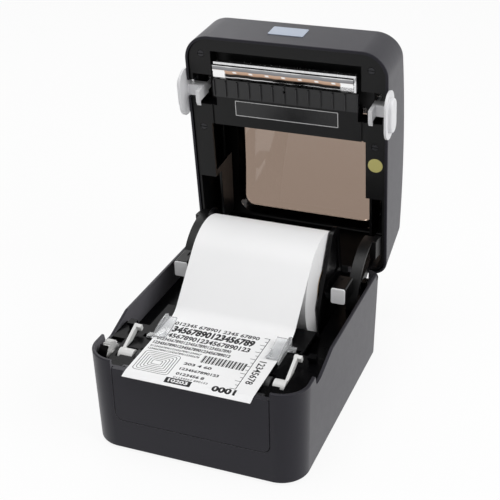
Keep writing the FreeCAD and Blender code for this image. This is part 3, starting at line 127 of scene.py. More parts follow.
def moulded(name, colour, roughness, grain_scale=2600.0, grain_height=0.00004, drift=0.06, gloss=0.5):
    # Moulded plastic: slow drift in its shade, uneven gloss and a fine grain from the mould
    material, shader = shader_of(name, colour, roughness, gloss)
    links = material.node_tree.links
    darker = tuple(c * (1 - drift) for c in colour)
    lighter = tuple(c * (1 + drift) for c in colour)
    slow = noise_in(material, SHADE_SCALE, detail=3.0)
    shade = ramp_in(material, slow, [(NOISE_LOW, darker), (NOISE_HIGH, lighter)])
    links.new(shade, shader.inputs["Base Color"])
    patch = noise_in(material, PATCH_SCALE, detail=4.0)
    uneven = range_in(material, patch, roughness - PATCH_SWING, roughness + PATCH_SWING)
    links.new(uneven, shader.inputs["Roughness"])
    bump_in(material, shader, noise_in(material, grain_scale), grain_height)
    return material


def dress(material, *names):
    for name in names:
        for place in frame["nodes"][name].material_slots:
            place.material = material


def grained(name, colour, roughness):
    # Fine spark-eroded grain with a faint cool sheen
    material = moulded(name, colour, roughness, gloss=CASE_GLOSS)
    shader = material.node_tree.nodes["Principled BSDF"]
    shader.inputs["Sheen Weight"].default_value = SHEEN
    shader.inputs["Sheen Tint"].default_value = (*COOL_TINT, 1)
    shader.inputs["Specular Tint"].default_value = (*COOL_TINT, 1)
    return material


def body_of(name):
    bodies = frame["record"]["behaviour"]["bodies"]
    return next(body for body, members in bodies.items() if name in members)


def linked(name, sheet, material):
    mesh = bpy.data.meshes.new(name)
    sheet.to_mesh(mesh)
    sheet.free()
    mesh.materials.append(material)
    piece = bpy.data.objects.new(name, mesh)
    bpy.context.scene.collection.objects.link(piece)
    return piece


def radiused(name, material, radius, inner=None):
    # The same moulding with its sharp edges rounded off, in place of the solid. The second material,
    # painted lighter or darker than the outer one as painted light or shade, goes on the faces that
    # look into it
    shape = bmesh.new()
    shape.from_mesh(frame["nodes"][name].data)
    bmesh.ops.remove_doubles(shape, verts=shape.verts[:], dist=MERGE_REACH)
    shape.normal_update()
    low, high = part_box(name)
    for face in shape.faces:
        outwards = face.calc_center_median() - (low + high) / 2
        face.material_index = int(inner is not None and face.normal.dot(outwards) < 0)
    piece = linked(name + "_moulding", shape, material)
    if inner:
        piece.data.materials.append(inner)
    piece.data.shade_smooth()
    edges = piece.modifiers.new("edges", "BEVEL")
    edges.width = radius
    edges.segments = EDGE_STEPS
    edges.profile = 0.5
    edges.limit_method = "ANGLE"
    edges.angle_limit = EDGE_ANGLE
    edges.use_clamp_overlap = False
    edges.loop_slide = False
    flats = piece.modifiers.new("flats", "WEIGHTED_NORMAL")
    flats.keep_sharp = True
    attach(piece, body_of(name))
    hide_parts(name)
    return piece


charcoal = grained("charcoal_grain", CHARCOAL, roughness=0.38)
# Lighter copy of the charcoal for the faces inside the case: painted light on the inner walls
case_inside_painted_light = moulded("case_inside_painted_light", (0.130, 0.127, 0.140), roughness=0.45, gloss=CASE_GLOSS)
radiused("base_housing", charcoal, CASE_RADIUS, case_inside_painted_light)
dress(charcoal, "front_panel")

# Bottom plate, in the same plastic with a coarser grain, held up by six zinc-plated screws
# that go into the columns of the inner tub. Four moulded rubber feet are stuck under it.
MARK_LOW = 0.35
MARK_HIGH = 0.65
MARK_SHADE = 0.86
MARK_SMOOTH = 0.75
MARK_ROUGH = 1.3
underside = moulded("underside_plastic", (0.012, 0.012, 0.013), roughness=0.55, grain_scale=1500.0,
                    grain_height=0.00008)
dress(underside, "bottom_plate")
rubber = moulded("foot_rubber", (0.020, 0.020, 0.021), roughness=0.75, grain_scale=900.0,
                 grain_height=0.00006, drift=0.2)
dress(rubber, "rubber_feet")


def metal(name, colour, roughness, scratch_scale=900.0, stretch=(1, 1, 1), height=0.00001):
    # Bare metal: marks from rolling or turning in its shade, gloss and surface
    material, shader = shader_of(name, colour, roughness)
    shader.inputs["Metallic"].default_value = 1.0
    links = material.node_tree.links
    marks = noise_in(material, scratch_scale, detail=4.0, stretch=stretch)
    dim = tuple(c * MARK_SHADE for c in colour)
    shade = ramp_in(material, marks, [(MARK_LOW, dim), (MARK_HIGH, colour)])
    links.new(shade, shader.inputs["Base Color"])
    uneven = range_in(material, marks, roughness * MARK_SMOOTH, roughness * MARK_ROUGH)
    links.new(uneven, shader.inputs["Roughness"])
    bump_in(material, shader, marks, height)
    return material


steel = metal("zinc_steel", (0.55, 0.55, 0.54), roughness=0.32)
dress(steel, "base_screws", "motor_screws")

# Circuit board on posts of the bottom plate, with the sockets soldered to it at the rear wall, and
# the power switch that snaps into its own hole. The board is green laminate, as is the feed
# button's, and the sockets are black plastic and tinned steel.
board = moulded("board_laminate", (0.010, 0.060, 0.025), roughness=0.35, grain_scale=700.0,
                grain_height=0.00005, drift=0.3)
dress(board, "main_board", "button_board")
socket_black = moulded("socket_plastic", (0.010, 0.010, 0.011), roughness=0.38, grain_scale=2200.0,
                       grain_height=0.00002)
dress(socket_black, "power_jack", "power_switch_body", "power_rocker")
tinned = metal("tinned_steel", (0.62, 0.62, 0.60), roughness=0.28)
dress(tinned, "usb_port")

# Stepper motor with its plate and gear train on the left: dark coated end caps, a zinc-plated
# plate screwed to it, white acetal gears and ground steel shafts. The bearing levers are acetal
# too, and the pins of the hinge are the same steel.
motor_coat = metal("motor_caps", (0.20, 0.20, 0.21), roughness=0.42, scratch_scale=500.0)
dress(motor_coat, "stepper_motor")
dress(steel, "gear_plate")
ground = metal("ground_steel", (0.68, 0.68, 0.67), roughness=0.16, scratch_scale=1400.0,
               stretch=(0.06, 1, 1))
dress(ground, "motor_shaft", "idler_stud", "platen_shaft", "hinge_pin_left", "hinge_pin_right")
acetal = moulded("white_acetal", (0.66, 0.66, 0.65), roughness=0.38, grain_scale=2000.0,
                 grain_height=0.00002, drift=0.04)
dress(acetal, "platen_gear", "idler_gear", "motor_pinion", "guide_pinion", "edge_guide_pinion",
      "platen_lever_left", "platen_lever_right")

# Inner tub in glossy black ABS: deck, roll well, bearing cradles, latch catches and hinge posts
# in one moulding. Its columns take the screws that come up through the bottom plate.
DEEP_BLACK = (0.0016, 0.0016, 0.0019)
tub_black = moulded("tub_plastic", DEEP_BLACK, roughness=0.26, grain_scale=2400.0,
                    grain_height=0.00001, gloss=0.05)
dress(tub_black, "media_tub", "gap_sensor")

# Dust strip in black foam rubber, glued along the top of the tub's rear wall, where it closes
# the slot under the lid's rear edge. Sizes that are taken times MM are millimetres, the others
# metres.
MM = 0.001
UNIT_HALF = 0.5
CORNER_STEPS = 6
STRIP_LENGTH = 120.0
STRIP_WIDTH = 2.0
STRIP_HEIGHT = 6.2
STRIP_FOOT = (0.0, 70.6, 75.0)
STRIP_CORNER = 0.5
STRIP_EDGE = 0.6


def rounded_sheet(width, height, corner):
    sheet = bmesh.new()
    bmesh.ops.create_grid(sheet, x_segments=1, y_segments=1, size=UNIT_HALF)
    bmesh.ops.scale(sheet, vec=(width, height, 1), verts=sheet.verts[:])
    bmesh.ops.bevel(sheet, geom=sheet.verts[:], affect="VERTICES", offset=corner, offset_type="OFFSET",
                    segments=CORNER_STEPS, profile=0.5, material=-1)
    return sheet


def thickened(sheet, thickness, edge):
    grown = bmesh.ops.extrude_face_region(sheet, geom=sheet.faces[:])
    front = [item for item in grown["geom"] if isinstance(item, bmesh.types.BMVert)]
    bmesh.ops.translate(sheet, vec=(0, 0, thickness), verts=front)
    bmesh.ops.recalc_face_normals(sheet, faces=sheet.faces[:])
    rim = [item for item in sheet.edges if all(vert.co.z > thickness / 2 for vert in item.verts)]
    bmesh.ops.bevel(sheet, geom=rim, affect="EDGES", offset=edge, offset_type="OFFSET",
                    segments=EDGE_STEPS, profile=0.5, material=-1)


strip = rounded_sheet(STRIP_LENGTH * MM, STRIP_WIDTH * MM, STRIP_CORNER * MM)
thickened(strip, STRIP_HEIGHT * MM, STRIP_EDGE * MM)
bmesh.ops.translate(strip, vec=Vector(STRIP_FOOT) * MM, verts=strip.verts[:])
foam = moulded("foam_rubber", (0.012, 0.012, 0.013), roughness=0.85, grain_scale=1100.0,
               grain_height=0.00012, drift=0.25, gloss=0.2)
dust_strip = linked("dust_strip", strip, foam)
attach(dust_strip, "base")

# Tear bar and the screws of the lid in blackened steel. The bar, pressed with a saw edge, is
# fixed to the front edge of the tub's deck, and the screws hold the liner to the lid.
blackened = metal("blackened_steel", (0.045, 0.045, 0.048), roughness=0.34)
dress(blackened, "tear_bar", "lid_screws")

# Platen roller: a sleeve of black silicone rubber, moulded on its steel shaft and ground true.
# It turns under the print head and draws the label along.
platen_skin = moulded("platen_silicone", (0.014, 0.014, 0.015), roughness=0.6, grain_scale=1800.0,
                      grain_height=0.00003)
dress(platen_skin, "platen_rubber")

# Clear guides at the web's edges, moulded in polycarbonate with the small edge radius of the
# mould. Each slides in a slot of the deck on a rack, and has a curved rib for the finger.
GUIDE_RADIUS = 0.0001
RIB_ASIDE = 45.0
RIB_AHEAD = -82.5
RIB_REACH = 9.0
RIB_SWEEP = math.radians(80)
RIB_STEPS = 14
RIB_WIDTH = 1.0
RIB_HEIGHT = 1.5
RAY_TOP = 1.0
DOWN = Vector((0, 0, -1))
CLEAR_SHARE = 0.80
CLEAR_INDEX = 1.5
clear, clear_shader = shader_of("clear_plastic", (0.86, 0.87, 0.88), roughness=0.16)
clear_shader.inputs["Transmission Weight"].default_value = CLEAR_SHARE
clear_shader.inputs["IOR"].default_value = CLEAR_INDEX
bump_in(clear, clear_shader, noise_in(clear, scale=1300.0, detail=3.0), height=0.00003)
for side, sign in (("left", -1), ("right", 1)):
    guide = radiused("edge_guide_" + side, clear, GUIDE_RADIUS)
    solid = bmesh.new()
    solid.from_mesh(guide.data)
    wing = BVHTree.FromBMesh(solid)
    solid.free()
    foot = wing.ray_cast(Vector((sign * RIB_ASIDE * MM, RIB_AHEAD * MM, RAY_TOP)), DOWN)[0]
    rib = bmesh.new()
    bmesh.ops.create_grid(rib, x_segments=1, y_segments=1, size=UNIT_HALF)
    bmesh.ops.scale(rib, vec=(RIB_WIDTH * MM, RIB_HEIGHT * MM, 1), verts=rib.verts[:])
    bmesh.ops.rotate(rib, matrix=Matrix.Rotation(math.pi / 2, 3, "X"), verts=rib.verts[:])
    bmesh.ops.translate(rib, vec=(RIB_REACH * MM, 0, RIB_HEIGHT * MM / 2), verts=rib.verts[:])
    bmesh.ops.rotate(rib, matrix=Matrix.Rotation(-RIB_SWEEP / 2, 3, "Z"), verts=rib.verts[:])
    bmesh.ops.spin(rib, geom=rib.faces[:], axis=(0, 0, 1), angle=RIB_SWEEP, steps=RIB_STEPS)
    bmesh.ops.remove_doubles(rib, verts=rib.verts[:], dist=MERGE_REACH)
    bmesh.ops.recalc_face_normals(rib, faces=rib.faces[:])
    bmesh.ops.translate(rib, vec=foot - Vector((RIB_REACH * MM, 0, 0)), verts=rib.verts[:])
    piece = linked("guide_rib_" + side, rib, clear)
    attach(piece, "edge_" + side)

# Roll holders in the same black plastic, sliding on racks across the tub, each with a satin
# silver pad pressed on the front of its finger grip.
HOLDER_RADIUS = 0.00012
GRIP_INNER = 64.5
GRIP_OUTER = 77.0
GRIP_FRONT = 6.24
GRIP_LOW = 80.5
GRIP_HIGH = 95.0
PAD_MARGIN = 0.5
PAD_WIDTH = GRIP_OUTER - GRIP_INNER - PAD_MARGIN
PAD_HEIGHT = GRIP_HIGH - GRIP_LOW - PAD_MARGIN
PAD_CORNER = 1.6
PAD_THICK = 0.9
PAD_EDGE = 0.4


def stood(sheet, place, out):
    # Turns a flat sheet about the X axis so that it faces out from its place
    out = Vector(out).normalized()
    right = Vector((1, 0, 0))
    up = out.cross(right)
    turn = Matrix((right, up, out)).transposed().to_4x4()
    bmesh.ops.transform(sheet, matrix=Matrix.Translation(place) @ turn, verts=sheet.verts[:])


gloss_black = moulded("black_plastic", DEEP_BLACK, roughness=0.22, grain_scale=2400.0,
                      grain_height=0.00001, gloss=0.16)
silver = moulded("satin_silver", (0.84, 0.84, 0.85), roughness=0.22, grain_scale=1500.0,
                 grain_height=0.00002)
for side, sign in (("left", -1), ("right", 1)):
    radiused("roll_guide_" + side, gloss_black, HOLDER_RADIUS)
    pad = rounded_sheet(PAD_WIDTH * MM, PAD_HEIGHT * MM, PAD_CORNER * MM)
    thickened(pad, PAD_THICK * MM, PAD_EDGE * MM)
    middle = Vector((sign * (GRIP_INNER + GRIP_OUTER) / 2, GRIP_FRONT, (GRIP_LOW + GRIP_HIGH) / 2)) * MM
    stood(pad, middle, (0, -1, 0))
    piece = linked("grip_pad_" + side, pad, silver)
    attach(piece, "holder_" + side)

# Label roll on its cardboard core: coated white thermal paper on a liner. The ends of the roll
# show the edges of its turns, and the strip runs down to the exit with a label on it.
PAPER_WHITE = (0.86, 0.86, 0.865)
TURN_SHADE = (0.81, 0.81, 0.81)
TURN_PITCH = 0.0011
# Scale of the wave texture times the pitch, for about one ring a turn
RING_RATE = 0.3
RING_WANDER = 0.4
RING_START = 0.45
ROLL_LOW, ROLL_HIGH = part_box("label_roll")
paper = moulded("coated_paper", PAPER_WHITE, roughness=0.50, grain_scale=1700.0, grain_height=0.00001,
                drift=0.01)
dress(paper, "label_web")


def wound(name, colour, dim, axis, pitch):
    # Wound paper: faint rings where the turns end, on the faces square to the roll's axis
    material, shader = shader_of(name, colour, roughness=0.55)
    nodes = material.node_tree.nodes
    links = material.node_tree.links
    place = nodes.new("ShaderNodeTexCoord")
    centred = nodes.new("ShaderNodeMapping")
    centred.inputs["Location"].default_value = (0, -axis.y, -axis.z)
    centred.inputs["Scale"].default_value = (0, 1, 1)
    links.new(place.outputs["Object"], centred.inputs["Vector"])
    turns = nodes.new("ShaderNodeTexWave")
    turns.wave_type = "RINGS"
    turns.rings_direction = "SPHERICAL"
    turns.inputs["Scale"].default_value = RING_RATE / pitch
    turns.inputs["Distortion"].default_value = RING_WANDER
    links.new(centred.outputs["Vector"], turns.inputs["Vector"])
    facing = nodes.new("ShaderNodeNewGeometry")
    parts = nodes.new("ShaderNodeSeparateXYZ")
    links.new(facing.outputs["Normal"], parts.inputs["Vector"])
    across = nodes.new("ShaderNodeMath")
    across.operation = "ABSOLUTE"
    links.new(parts.outputs["X"], across.inputs[0])
    lines = nodes.new("ShaderNodeMath")
    lines.operation = "MULTIPLY"
    links.new(turns.outputs["Fac"], lines.inputs[0])
    links.new(across.outputs[0], lines.inputs[1])
    shade = ramp_in(material, lines.outputs[0], [(RING_START, colour), (1.0, dim)])
    links.new(shade, shader.inputs["Base Color"])
    bump_in(material, shader, lines.outputs[0], height=0.00005)
    return material


roll_paper = wound("wound_paper", PAPER_WHITE, TURN_SHADE, (ROLL_LOW + ROLL_HIGH) / 2, TURN_PITCH)
dress(roll_paper, "label_roll")
card = moulded("core_board", (0.42, 0.30, 0.19), roughness=0.8, grain_scale=900.0, grain_height=0.00006,
               drift=0.15)
dress(card, "roll_core")

# Test print on the label, burnt into the coating by the heating line: rows of figures, a bar
# code, a rule with its scale, nested frames and a dark block, all a film a few hundredths thick.
INK_LIFT = 0.00002
INK_THICK = 0.00004
FOLD_AT = -0.13776
FIGURE_ROWS = (
    # figures, left, right, top, bottom in millimetres on the label, and weight of stroke
    ("012345 678901 2345 67890", -45, 28, -60, -65, 0.028),
    ("34567890123456789", -43, 27, -66.3, -75.8, 0.05),
    ("45678901234567890123", -43, 27, -77.5, -84, 0.034),
    ("0123456789012345678901234567890", -49, 14, -85.5, -90, 0.03),
    ("12345678901234567890123456789012", -49.5, 16, -91.8, -96.2, 0.04),
    ("0123456789012345678901234567", -49.5, -6, -98, -100.6, 0.022),
    ("1234567890123456789012345678", -49.5, -6, -102, -104.6, 0.022),
    ("203 4 60", -14, 9, -112.5, -116, 0.036),
    ("1234567890123", -14, 18, -120, -123.5, 0.036),
    ("0123456 8", -14, 9, -126.8, -130.4, 0.036),
    ("01234567 890123", -14, 14, -132.5, -134.8, 0.012),
    ("0001", 19, 38, -134, -140.5, 0.05),
)
FIGURE_CURVE_STEPS = 3
SCALE_FIGURES = ("12345678", 39.5, 45.5, -92, -124, 0.02)
REVERSED_BLOCK = (-18.5, 2.5, -135.4, -141.4)
REVERSED_FIGURES = ("10203", -16.0, 0.0, -136.6, -140.2, 0.04)
BAR_CODE = (-3.0, 33.0, -99.0, -109.0)
BAR_COUNT = 26
RULE_PLACE = (36.0, -60.0, -133.0)
RULE_LINE = 0.55
TICK_STEP = 5.2
LONG_TICK = 4.6
SHORT_TICK = 2.4
FRAME_BOX = (-49.0, -19.0, -106.5, -134.0)
FRAME_COUNT = 6
FRAME_STEP = 2.15
FRAME_LINE = 0.5
FRAME_CORNER = 3.0
FRAME_CORNER_LOSS = 0.4


def figures(ink, text, left, right, top, bottom, weight, turned=False):
    writing = bpy.data.curves.new("figures", "FONT")
    writing.body = text
    writing.offset = weight
    writing.resolution_u = FIGURE_CURVE_STEPS
    writer = bpy.data.objects.new("figures", writing)
    bpy.context.scene.collection.objects.link(writer)
    mesh = bpy.data.meshes.new_from_object(writer)
    bpy.data.objects.remove(writer)
    if turned:
        mesh.transform(Matrix.Rotation(-math.pi / 2, 4, "Z"))
    low = [min(vert.co[i] for vert in mesh.vertices) for i in (0, 1)]
    high = [max(vert.co[i] for vert in mesh.vertices) for i in (0, 1)]
    mesh.transform(Matrix.Translation((-low[0], -low[1], 0)))
    stretch = ((right - left) / (high[0] - low[0]), (top - bottom) / (high[1] - low[1]), 1, 1)
    mesh.transform(Matrix.Translation((left * MM, bottom * MM, 0)) @ Matrix.Scale(MM, 4)
                   @ Matrix.Diagonal(stretch))
    ink.from_mesh(mesh)
    bpy.data.meshes.remove(mesh)


def block(ink, left, right, top, bottom):
    middle = Vector(((left + right) / 2, (top + bottom) / 2, 0)) * MM
    size = Matrix.Diagonal(((right - left) * MM, (top - bottom) * MM, 1, 1))
    place = Matrix.Translation(middle) @ size
    bmesh.ops.create_grid(ink, x_segments=1, y_segments=1, size=UNIT_HALF, matrix=place)


def opened(sheet, line):
    # Cuts the middle out of a sheet and leaves a line along its edge
    inside = sheet.faces[:]
    bmesh.ops.inset_region(sheet, faces=inside, thickness=line, use_even_offset=True, use_boundary=True)
    bmesh.ops.delete(sheet, geom=inside, context="FACES_ONLY")


ink = bmesh.new()
for row in FIGURE_ROWS:
    figures(ink, *row)
figures(ink, *SCALE_FIGURES, turned=True)
block(ink, *REVERSED_BLOCK)

# Bars and spaces one to four modules wide, by a made-up rule, so the code stands for nothing
code_left, code_right, code_top, code_bottom = BAR_CODE
modules = [(1 + (5 * i * i + 2 * i) % 4, 1 + (3 * i * i + i) % 3) for i in range(BAR_COUNT)]
module = (code_right - code_left) / sum(bar + space for bar, space in modules)
edge = code_left
for bar, space in modules:
    block(ink, edge, edge + bar * module, code_top, code_bottom)
    edge += (bar + space) * module

rule_x, rule_top, rule_bottom = RULE_PLACE
block(ink, rule_x - RULE_LINE / 2, rule_x + RULE_LINE / 2, rule_top, rule_bottom)
tick_count = int((rule_top - rule_bottom) / TICK_STEP) + 1
for i in range(tick_count):
    tick_y = rule_top - i * TICK_STEP
    reach = LONG_TICK if i % 2 == 0 else SHORT_TICK
    block(ink, rule_x - reach, rule_x, tick_y, tick_y - RULE_LINE)

frame_left, frame_right, frame_top, frame_bottom = FRAME_BOX
frame_middle = Vector((frame_left + frame_right, frame_top + frame_bottom, 0)) * MM / 2
for i in range(FRAME_COUNT):
    inset = i * FRAME_STEP
    outline = rounded_sheet((frame_right - frame_left - 2 * inset) * MM,
                            (frame_top - frame_bottom - 2 * inset) * MM,
                            (FRAME_CORNER - i * FRAME_CORNER_LOSS) * MM)
    opened(outline, FRAME_LINE * MM)
    bmesh.ops.translate(outline, vec=frame_middle, verts=outline.verts[:])
    line = bpy.data.meshes.new("line")
    outline.to_mesh(line)
    outline.free()
    ink.from_mesh(line)
    bpy.data.meshes.remove(line)

web = bmesh.new()
web.from_mesh(frame["nodes"]["label_web"].data)
web_top = BVHTree.FromBMesh(web)
web.free()


def laid(sheet, lift):
    # Lays a flat sheet on the strip, cut where the strip bends over the front edge
    bmesh.ops.bisect_plane(sheet, geom=sheet.verts[:] + sheet.edges[:] + sheet.faces[:], dist=MERGE_REACH,
                           plane_co=(0, FOLD_AT, 0), plane_no=(0, 1, 0))
    for vert in sheet.verts:
        met = web_top.ray_cast(Vector((vert.co.x, vert.co.y, RAY_TOP)), DOWN)[0]
        vert.co.z = met.z + lift
    bmesh.ops.recalc_face_normals(sheet, faces=sheet.faces[:])
    for face in sheet.faces:
        if face.normal.z < 0:
            face.normal_flip()
    bmesh.ops.solidify(sheet, geom=sheet.faces[:], thickness=INK_THICK / 2)
    return sheet


burnt = moulded("burnt_coating", (0.006, 0.006, 0.007), roughness=0.5, grain_scale=3000.0,
                grain_height=0.00001, drift=0.2, gloss=0.2)
label_print = linked("label_print", laid(ink, INK_LIFT), burnt)
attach(label_print, "base")
spared = bmesh.new()
figures(spared, *REVERSED_FIGURES)
print_spared = linked("print_spared", laid(spared, INK_LIFT + INK_THICK), paper)
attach(print_spared, "base")

# Smoked pane of the lid, moulded in brown-tinted acrylic. It is set in the shell's opening from
# inside and held there by a wider flange behind the shell.
PANE_INDEX = 1.49
smoked, smoked_shader = shader_of("smoked_acrylic", (0.30, 0.225, 0.18), roughness=0.03)
smoked_shader.inputs["Transmission Weight"].default_value = 1.0
smoked_shader.inputs["IOR"].default_value = PANE_INDEX
bump_in(smoked, smoked_shader, noise_in(smoked, scale=30.0, detail=1.0), height=0.00002)
dress(smoked, "lid_window")

# Shell of the lid in the grained charcoal plastic, polished in the mould on its inner side, where
# the plastic is painted nearly black as painted shade. It turns on the pins of the hinge and
# carries all that the lid holds.
SHELL_RADIUS = 0.0002
# Near-black copy of the charcoal for the faces inside the lid: painted shade
shell_inside_painted_shade = moulded("shell_inside_painted_shade", (0.0010, 0.0010, 0.0012), roughness=0.32, grain_scale=2400.0,
                       grain_height=0.00001, gloss=0.12)
radiused("lid_shell", charcoal, SHELL_RADIUS, shell_inside_painted_shade)

# Liner of the lid in satin black plastic, screwed into the shell, with the ribbed guide held on
# two posts behind the print head.
LINER_RADIUS = 0.00015
GUIDE_RIB_RADIUS = 0.0001
liner_black = moulded("liner_plastic", DEEP_BLACK, roughness=0.42, grain_scale=2400.0,
                      grain_height=0.00001, gloss=0.28)
radiused("lid_liner", liner_black, LINER_RADIUS)
satin_black = moulded("satin_black_plastic", (0.010, 0.010, 0.011), roughness=0.36, grain_scale=1600.0,
                      grain_height=0.00003)
radiused("ribbed_guide", satin_black, GUIDE_RIB_RADIUS)

# Blank plate on the liner, a black foil with a white border line, and a plain round foil seal
# on the right-hand strip. Both are stuck on.
PLATE_WIDTH = 93.0
PLATE_HEIGHT = 15.0
PLATE_PLACE = (0.0, 78.0, 212.5)
PLATE_THICK = 0.25
PLATE_EDGE = PLATE_THICK / 3
PLATE_CORNER = 0.6
BORDER_INSET = 0.5
BORDER_LINE = 0.55
SEAL_RADIUS = 6.4
SEAL_PLACE = (78.0, 82.2, 174.3)
SEAL_RING = 0.7
SEAL_SIDES = 48
LINER_OUT = Vector((0, -0.99396, -0.10973))
on_liner = Vector(PLATE_PLACE) * MM
foil_black = moulded("black_foil", (0.004, 0.004, 0.005), roughness=0.2, grain_scale=900.0,
                     grain_height=0.00001)
plate = rounded_sheet(PLATE_WIDTH * MM, PLATE_HEIGHT * MM, PLATE_CORNER * MM)
thickened(plate, PLATE_THICK * MM, PLATE_EDGE * MM)
stood(plate, on_liner, LINER_OUT)
liner_plate = linked("liner_plate", plate, foil_black)
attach(liner_plate, "lid")

border = rounded_sheet((PLATE_WIDTH - 2 * BORDER_INSET) * MM, (PLATE_HEIGHT - 2 * BORDER_INSET) * MM,
                       PLATE_CORNER * MM)
opened(border, BORDER_LINE * MM)
bmesh.ops.solidify(border, geom=border.faces[:], thickness=-INK_THICK)
bmesh.ops.recalc_face_normals(border, faces=border.faces[:])
stood(border, on_liner + LINER_OUT * PLATE_THICK * MM, LINER_OUT)
white_ink = moulded("white_ink", (0.62, 0.62, 0.62), roughness=0.5, grain_scale=1500.0,
                    grain_height=0.00001)
plate_border = linked("plate_border", border, white_ink)
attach(plate_border, "lid")

seal = bmesh.new()
bmesh.ops.create_circle(seal, cap_ends=True, segments=SEAL_SIDES, radius=SEAL_RADIUS * MM)
bmesh.ops.inset_region(seal, faces=seal.faces[:], thickness=SEAL_RING * MM, depth=PLATE_EDGE * MM,
                       use_even_offset=True, use_boundary=True)
thickened(seal, PLATE_THICK * MM, PLATE_EDGE * MM)
stood(seal, Vector(SEAL_PLACE) * MM, LINER_OUT)
olive_foil = moulded("olive_foil", (0.55, 0.50, 0.17), roughness=0.35, grain_scale=1200.0,
                     grain_height=0.00002, drift=0.15)
foil_seal = linked("foil_seal", seal, olive_foil)
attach(foil_seal, "lid")

# Bare badge on the front of the lid: a pale anodised plate with rounded corners, stuck on near
# the middle of its front face.
BADGE_WIDTH = 31.0
BADGE_HEIGHT = 17.0
BADGE_PLACE = (-4.0, 95.3, 278.1)
BADGE_CORNER = 1.2
BADGE_THICK = 0.6
BADGE_EDGE = 0.2
BADGE_OUT = (0, -0.0837, 0.9965)
pale_blue = moulded("badge_foil", (0.36, 0.41, 0.50), roughness=0.30, grain_scale=700.0,
                    grain_height=0.00001, drift=0.04)
badge = rounded_sheet(BADGE_WIDTH * MM, BADGE_HEIGHT * MM, BADGE_CORNER * MM)
thickened(badge, BADGE_THICK * MM, BADGE_EDGE * MM)
stood(badge, Vector(BADGE_PLACE) * MM, BADGE_OUT)
lid_badge = linked("lid_badge", badge, pale_blue)
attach(lid_badge, "lid")

# Print head in the lid: an aluminium bracket that floats on two springs, with a polished cover
# and the glazed ceramic strip that carries the heating line.
HEAD_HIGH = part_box("print_head_ceramic")[1]
COVER_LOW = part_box("print_head_cover")[0]
PAINTED_REFLECTION_WHITE = (0.90, 0.90, 0.90)
# The white and light bands are painted reflections of the bright surround on the polished metal
HEAD_BANDS = [
    # share of the height from the cover's foot to the strip's top, and the colour there
    (0.00, (0.012, 0.012, 0.013)), (0.18, (0.012, 0.012, 0.013)), (0.20, (0.70, 0.70, 0.70)),
    (0.23, (0.70, 0.70, 0.70)), (0.25, (0.020, 0.018, 0.018)), (0.42, (0.030, 0.026, 0.024)),
    (0.48, (0.46, 0.30, 0.21)), (0.66, (0.56, 0.39, 0.29)), (0.70, (0.20, 0.20, 0.21)),
    (0.90, (0.30, 0.30, 0.31)), (0.955, PAINTED_REFLECTION_WHITE)]
GOLD_BAND = [(0.48, (0, 0, 0)), (0.54, (1, 1, 1)), (0.61, (1, 1, 1)), (0.66, (0, 0, 0))]
LOWER_BANDS = [(0.66, (1, 1, 1)), (0.69, (0, 0, 0))]
BAND_WAVER = 0.02
# Radians that a wave texture turns through in a metre, at a scale of 1
WAVE_RATE = 20
SPOT_PITCH = 0.0144
SPOT_SHIFT = 0.0015
SPOT_RIM = 0.80
SPOT_HEART = 0.96
END_START = 0.0500
END_WIDTH = 0.0012
aluminium = metal("cast_aluminium", (0.84, 0.84, 0.85), roughness=0.22, scratch_scale=700.0)
dress(aluminium, "print_head_bracket")


def axis_in(material, axis):
    place = material.node_tree.nodes.new("ShaderNodeTexCoord")
    parts = material.node_tree.nodes.new("ShaderNodeSeparateXYZ")
    material.node_tree.links.new(place.outputs["Object"], parts.inputs["Vector"])
    return parts.outputs[axis]


def worked(material, operation, first, second=None):
    step = material.node_tree.nodes.new("ShaderNodeMath")
    step.operation = operation
    material.node_tree.links.new(first, step.inputs[0])
    if second:
        material.node_tree.links.new(second, step.inputs[1])
    return step.outputs[0]


def banded(name, bands, roughness, low, high):
    # Polished strip in bands along the head: dark glaze, gold leads and grey ceramic, with painted
    # reflections over them: a light line low on the cover, a white top, bright spots at a steady
    # pitch on the leads and bright ends
    material, shader = shader_of(name, PAINTED_REFLECTION_WHITE, roughness)
    shader.inputs["Metallic"].default_value = 1.0
    nodes = material.node_tree.nodes
    links = material.node_tree.links
    height = range_in(material, axis_in(material, "Z"), 0.0, 1.0, low, high)
    wander = noise_in(material, scale=90.0, detail=1.0, stretch=(1, 0.2, 0.2))
    waver = range_in(material, wander, -BAND_WAVER, BAND_WAVER)
    colours = ramp_in(material, worked(material, "ADD", height, waver), bands)
    spots = nodes.new("ShaderNodeTexWave")
    spots.inputs["Scale"].default_value = 2 * math.pi / (WAVE_RATE * SPOT_PITCH)
    spots.inputs["Phase Offset"].default_value = math.pi - 2 * math.pi * SPOT_SHIFT / SPOT_PITCH
    place = nodes.new("ShaderNodeTexCoord")
    links.new(place.outputs["Object"], spots.inputs["Vector"])
    spot_share = range_in(material, spots.outputs["Fac"], 0.0, 1.0, SPOT_RIM, SPOT_HEART)
    spotted = worked(material, "MULTIPLY", spot_share, ramp_in(material, height, GOLD_BAND))
    aside = worked(material, "ABSOLUTE", axis_in(material, "X"))
    end_share = range_in(material, aside, 0.0, 1.0, END_START, END_START + END_WIDTH)
    ended = worked(material, "MULTIPLY", end_share, ramp_in(material, height, LOWER_BANDS))
    # Bright spots and bright ends are painted reflections laid over the bands
    bright = nodes.new("ShaderNodeMix")
    bright.data_type = "RGBA"
    share, under, over = [end for end in bright.inputs if end.enabled]
    links.new(worked(material, "MAXIMUM", spotted, ended), share)
    links.new(colours, under)
    over.default_value = (*PAINTED_REFLECTION_WHITE, 1)
    links.new(next(end for end in bright.outputs if end.enabled), shader.inputs["Base Color"])
    polish = noise_in(material, scale=600.0, stretch=(0.05, 1, 1))
    bump_in(material, shader, polish, height=0.000005)
    return material


head_strip = banded("glazed_strip_painted_reflections", HEAD_BANDS, roughness=0.09, low=COVER_LOW.z, high=HEAD_HIGH.z)
dress(head_strip, "print_head_ceramic", "print_head_cover")
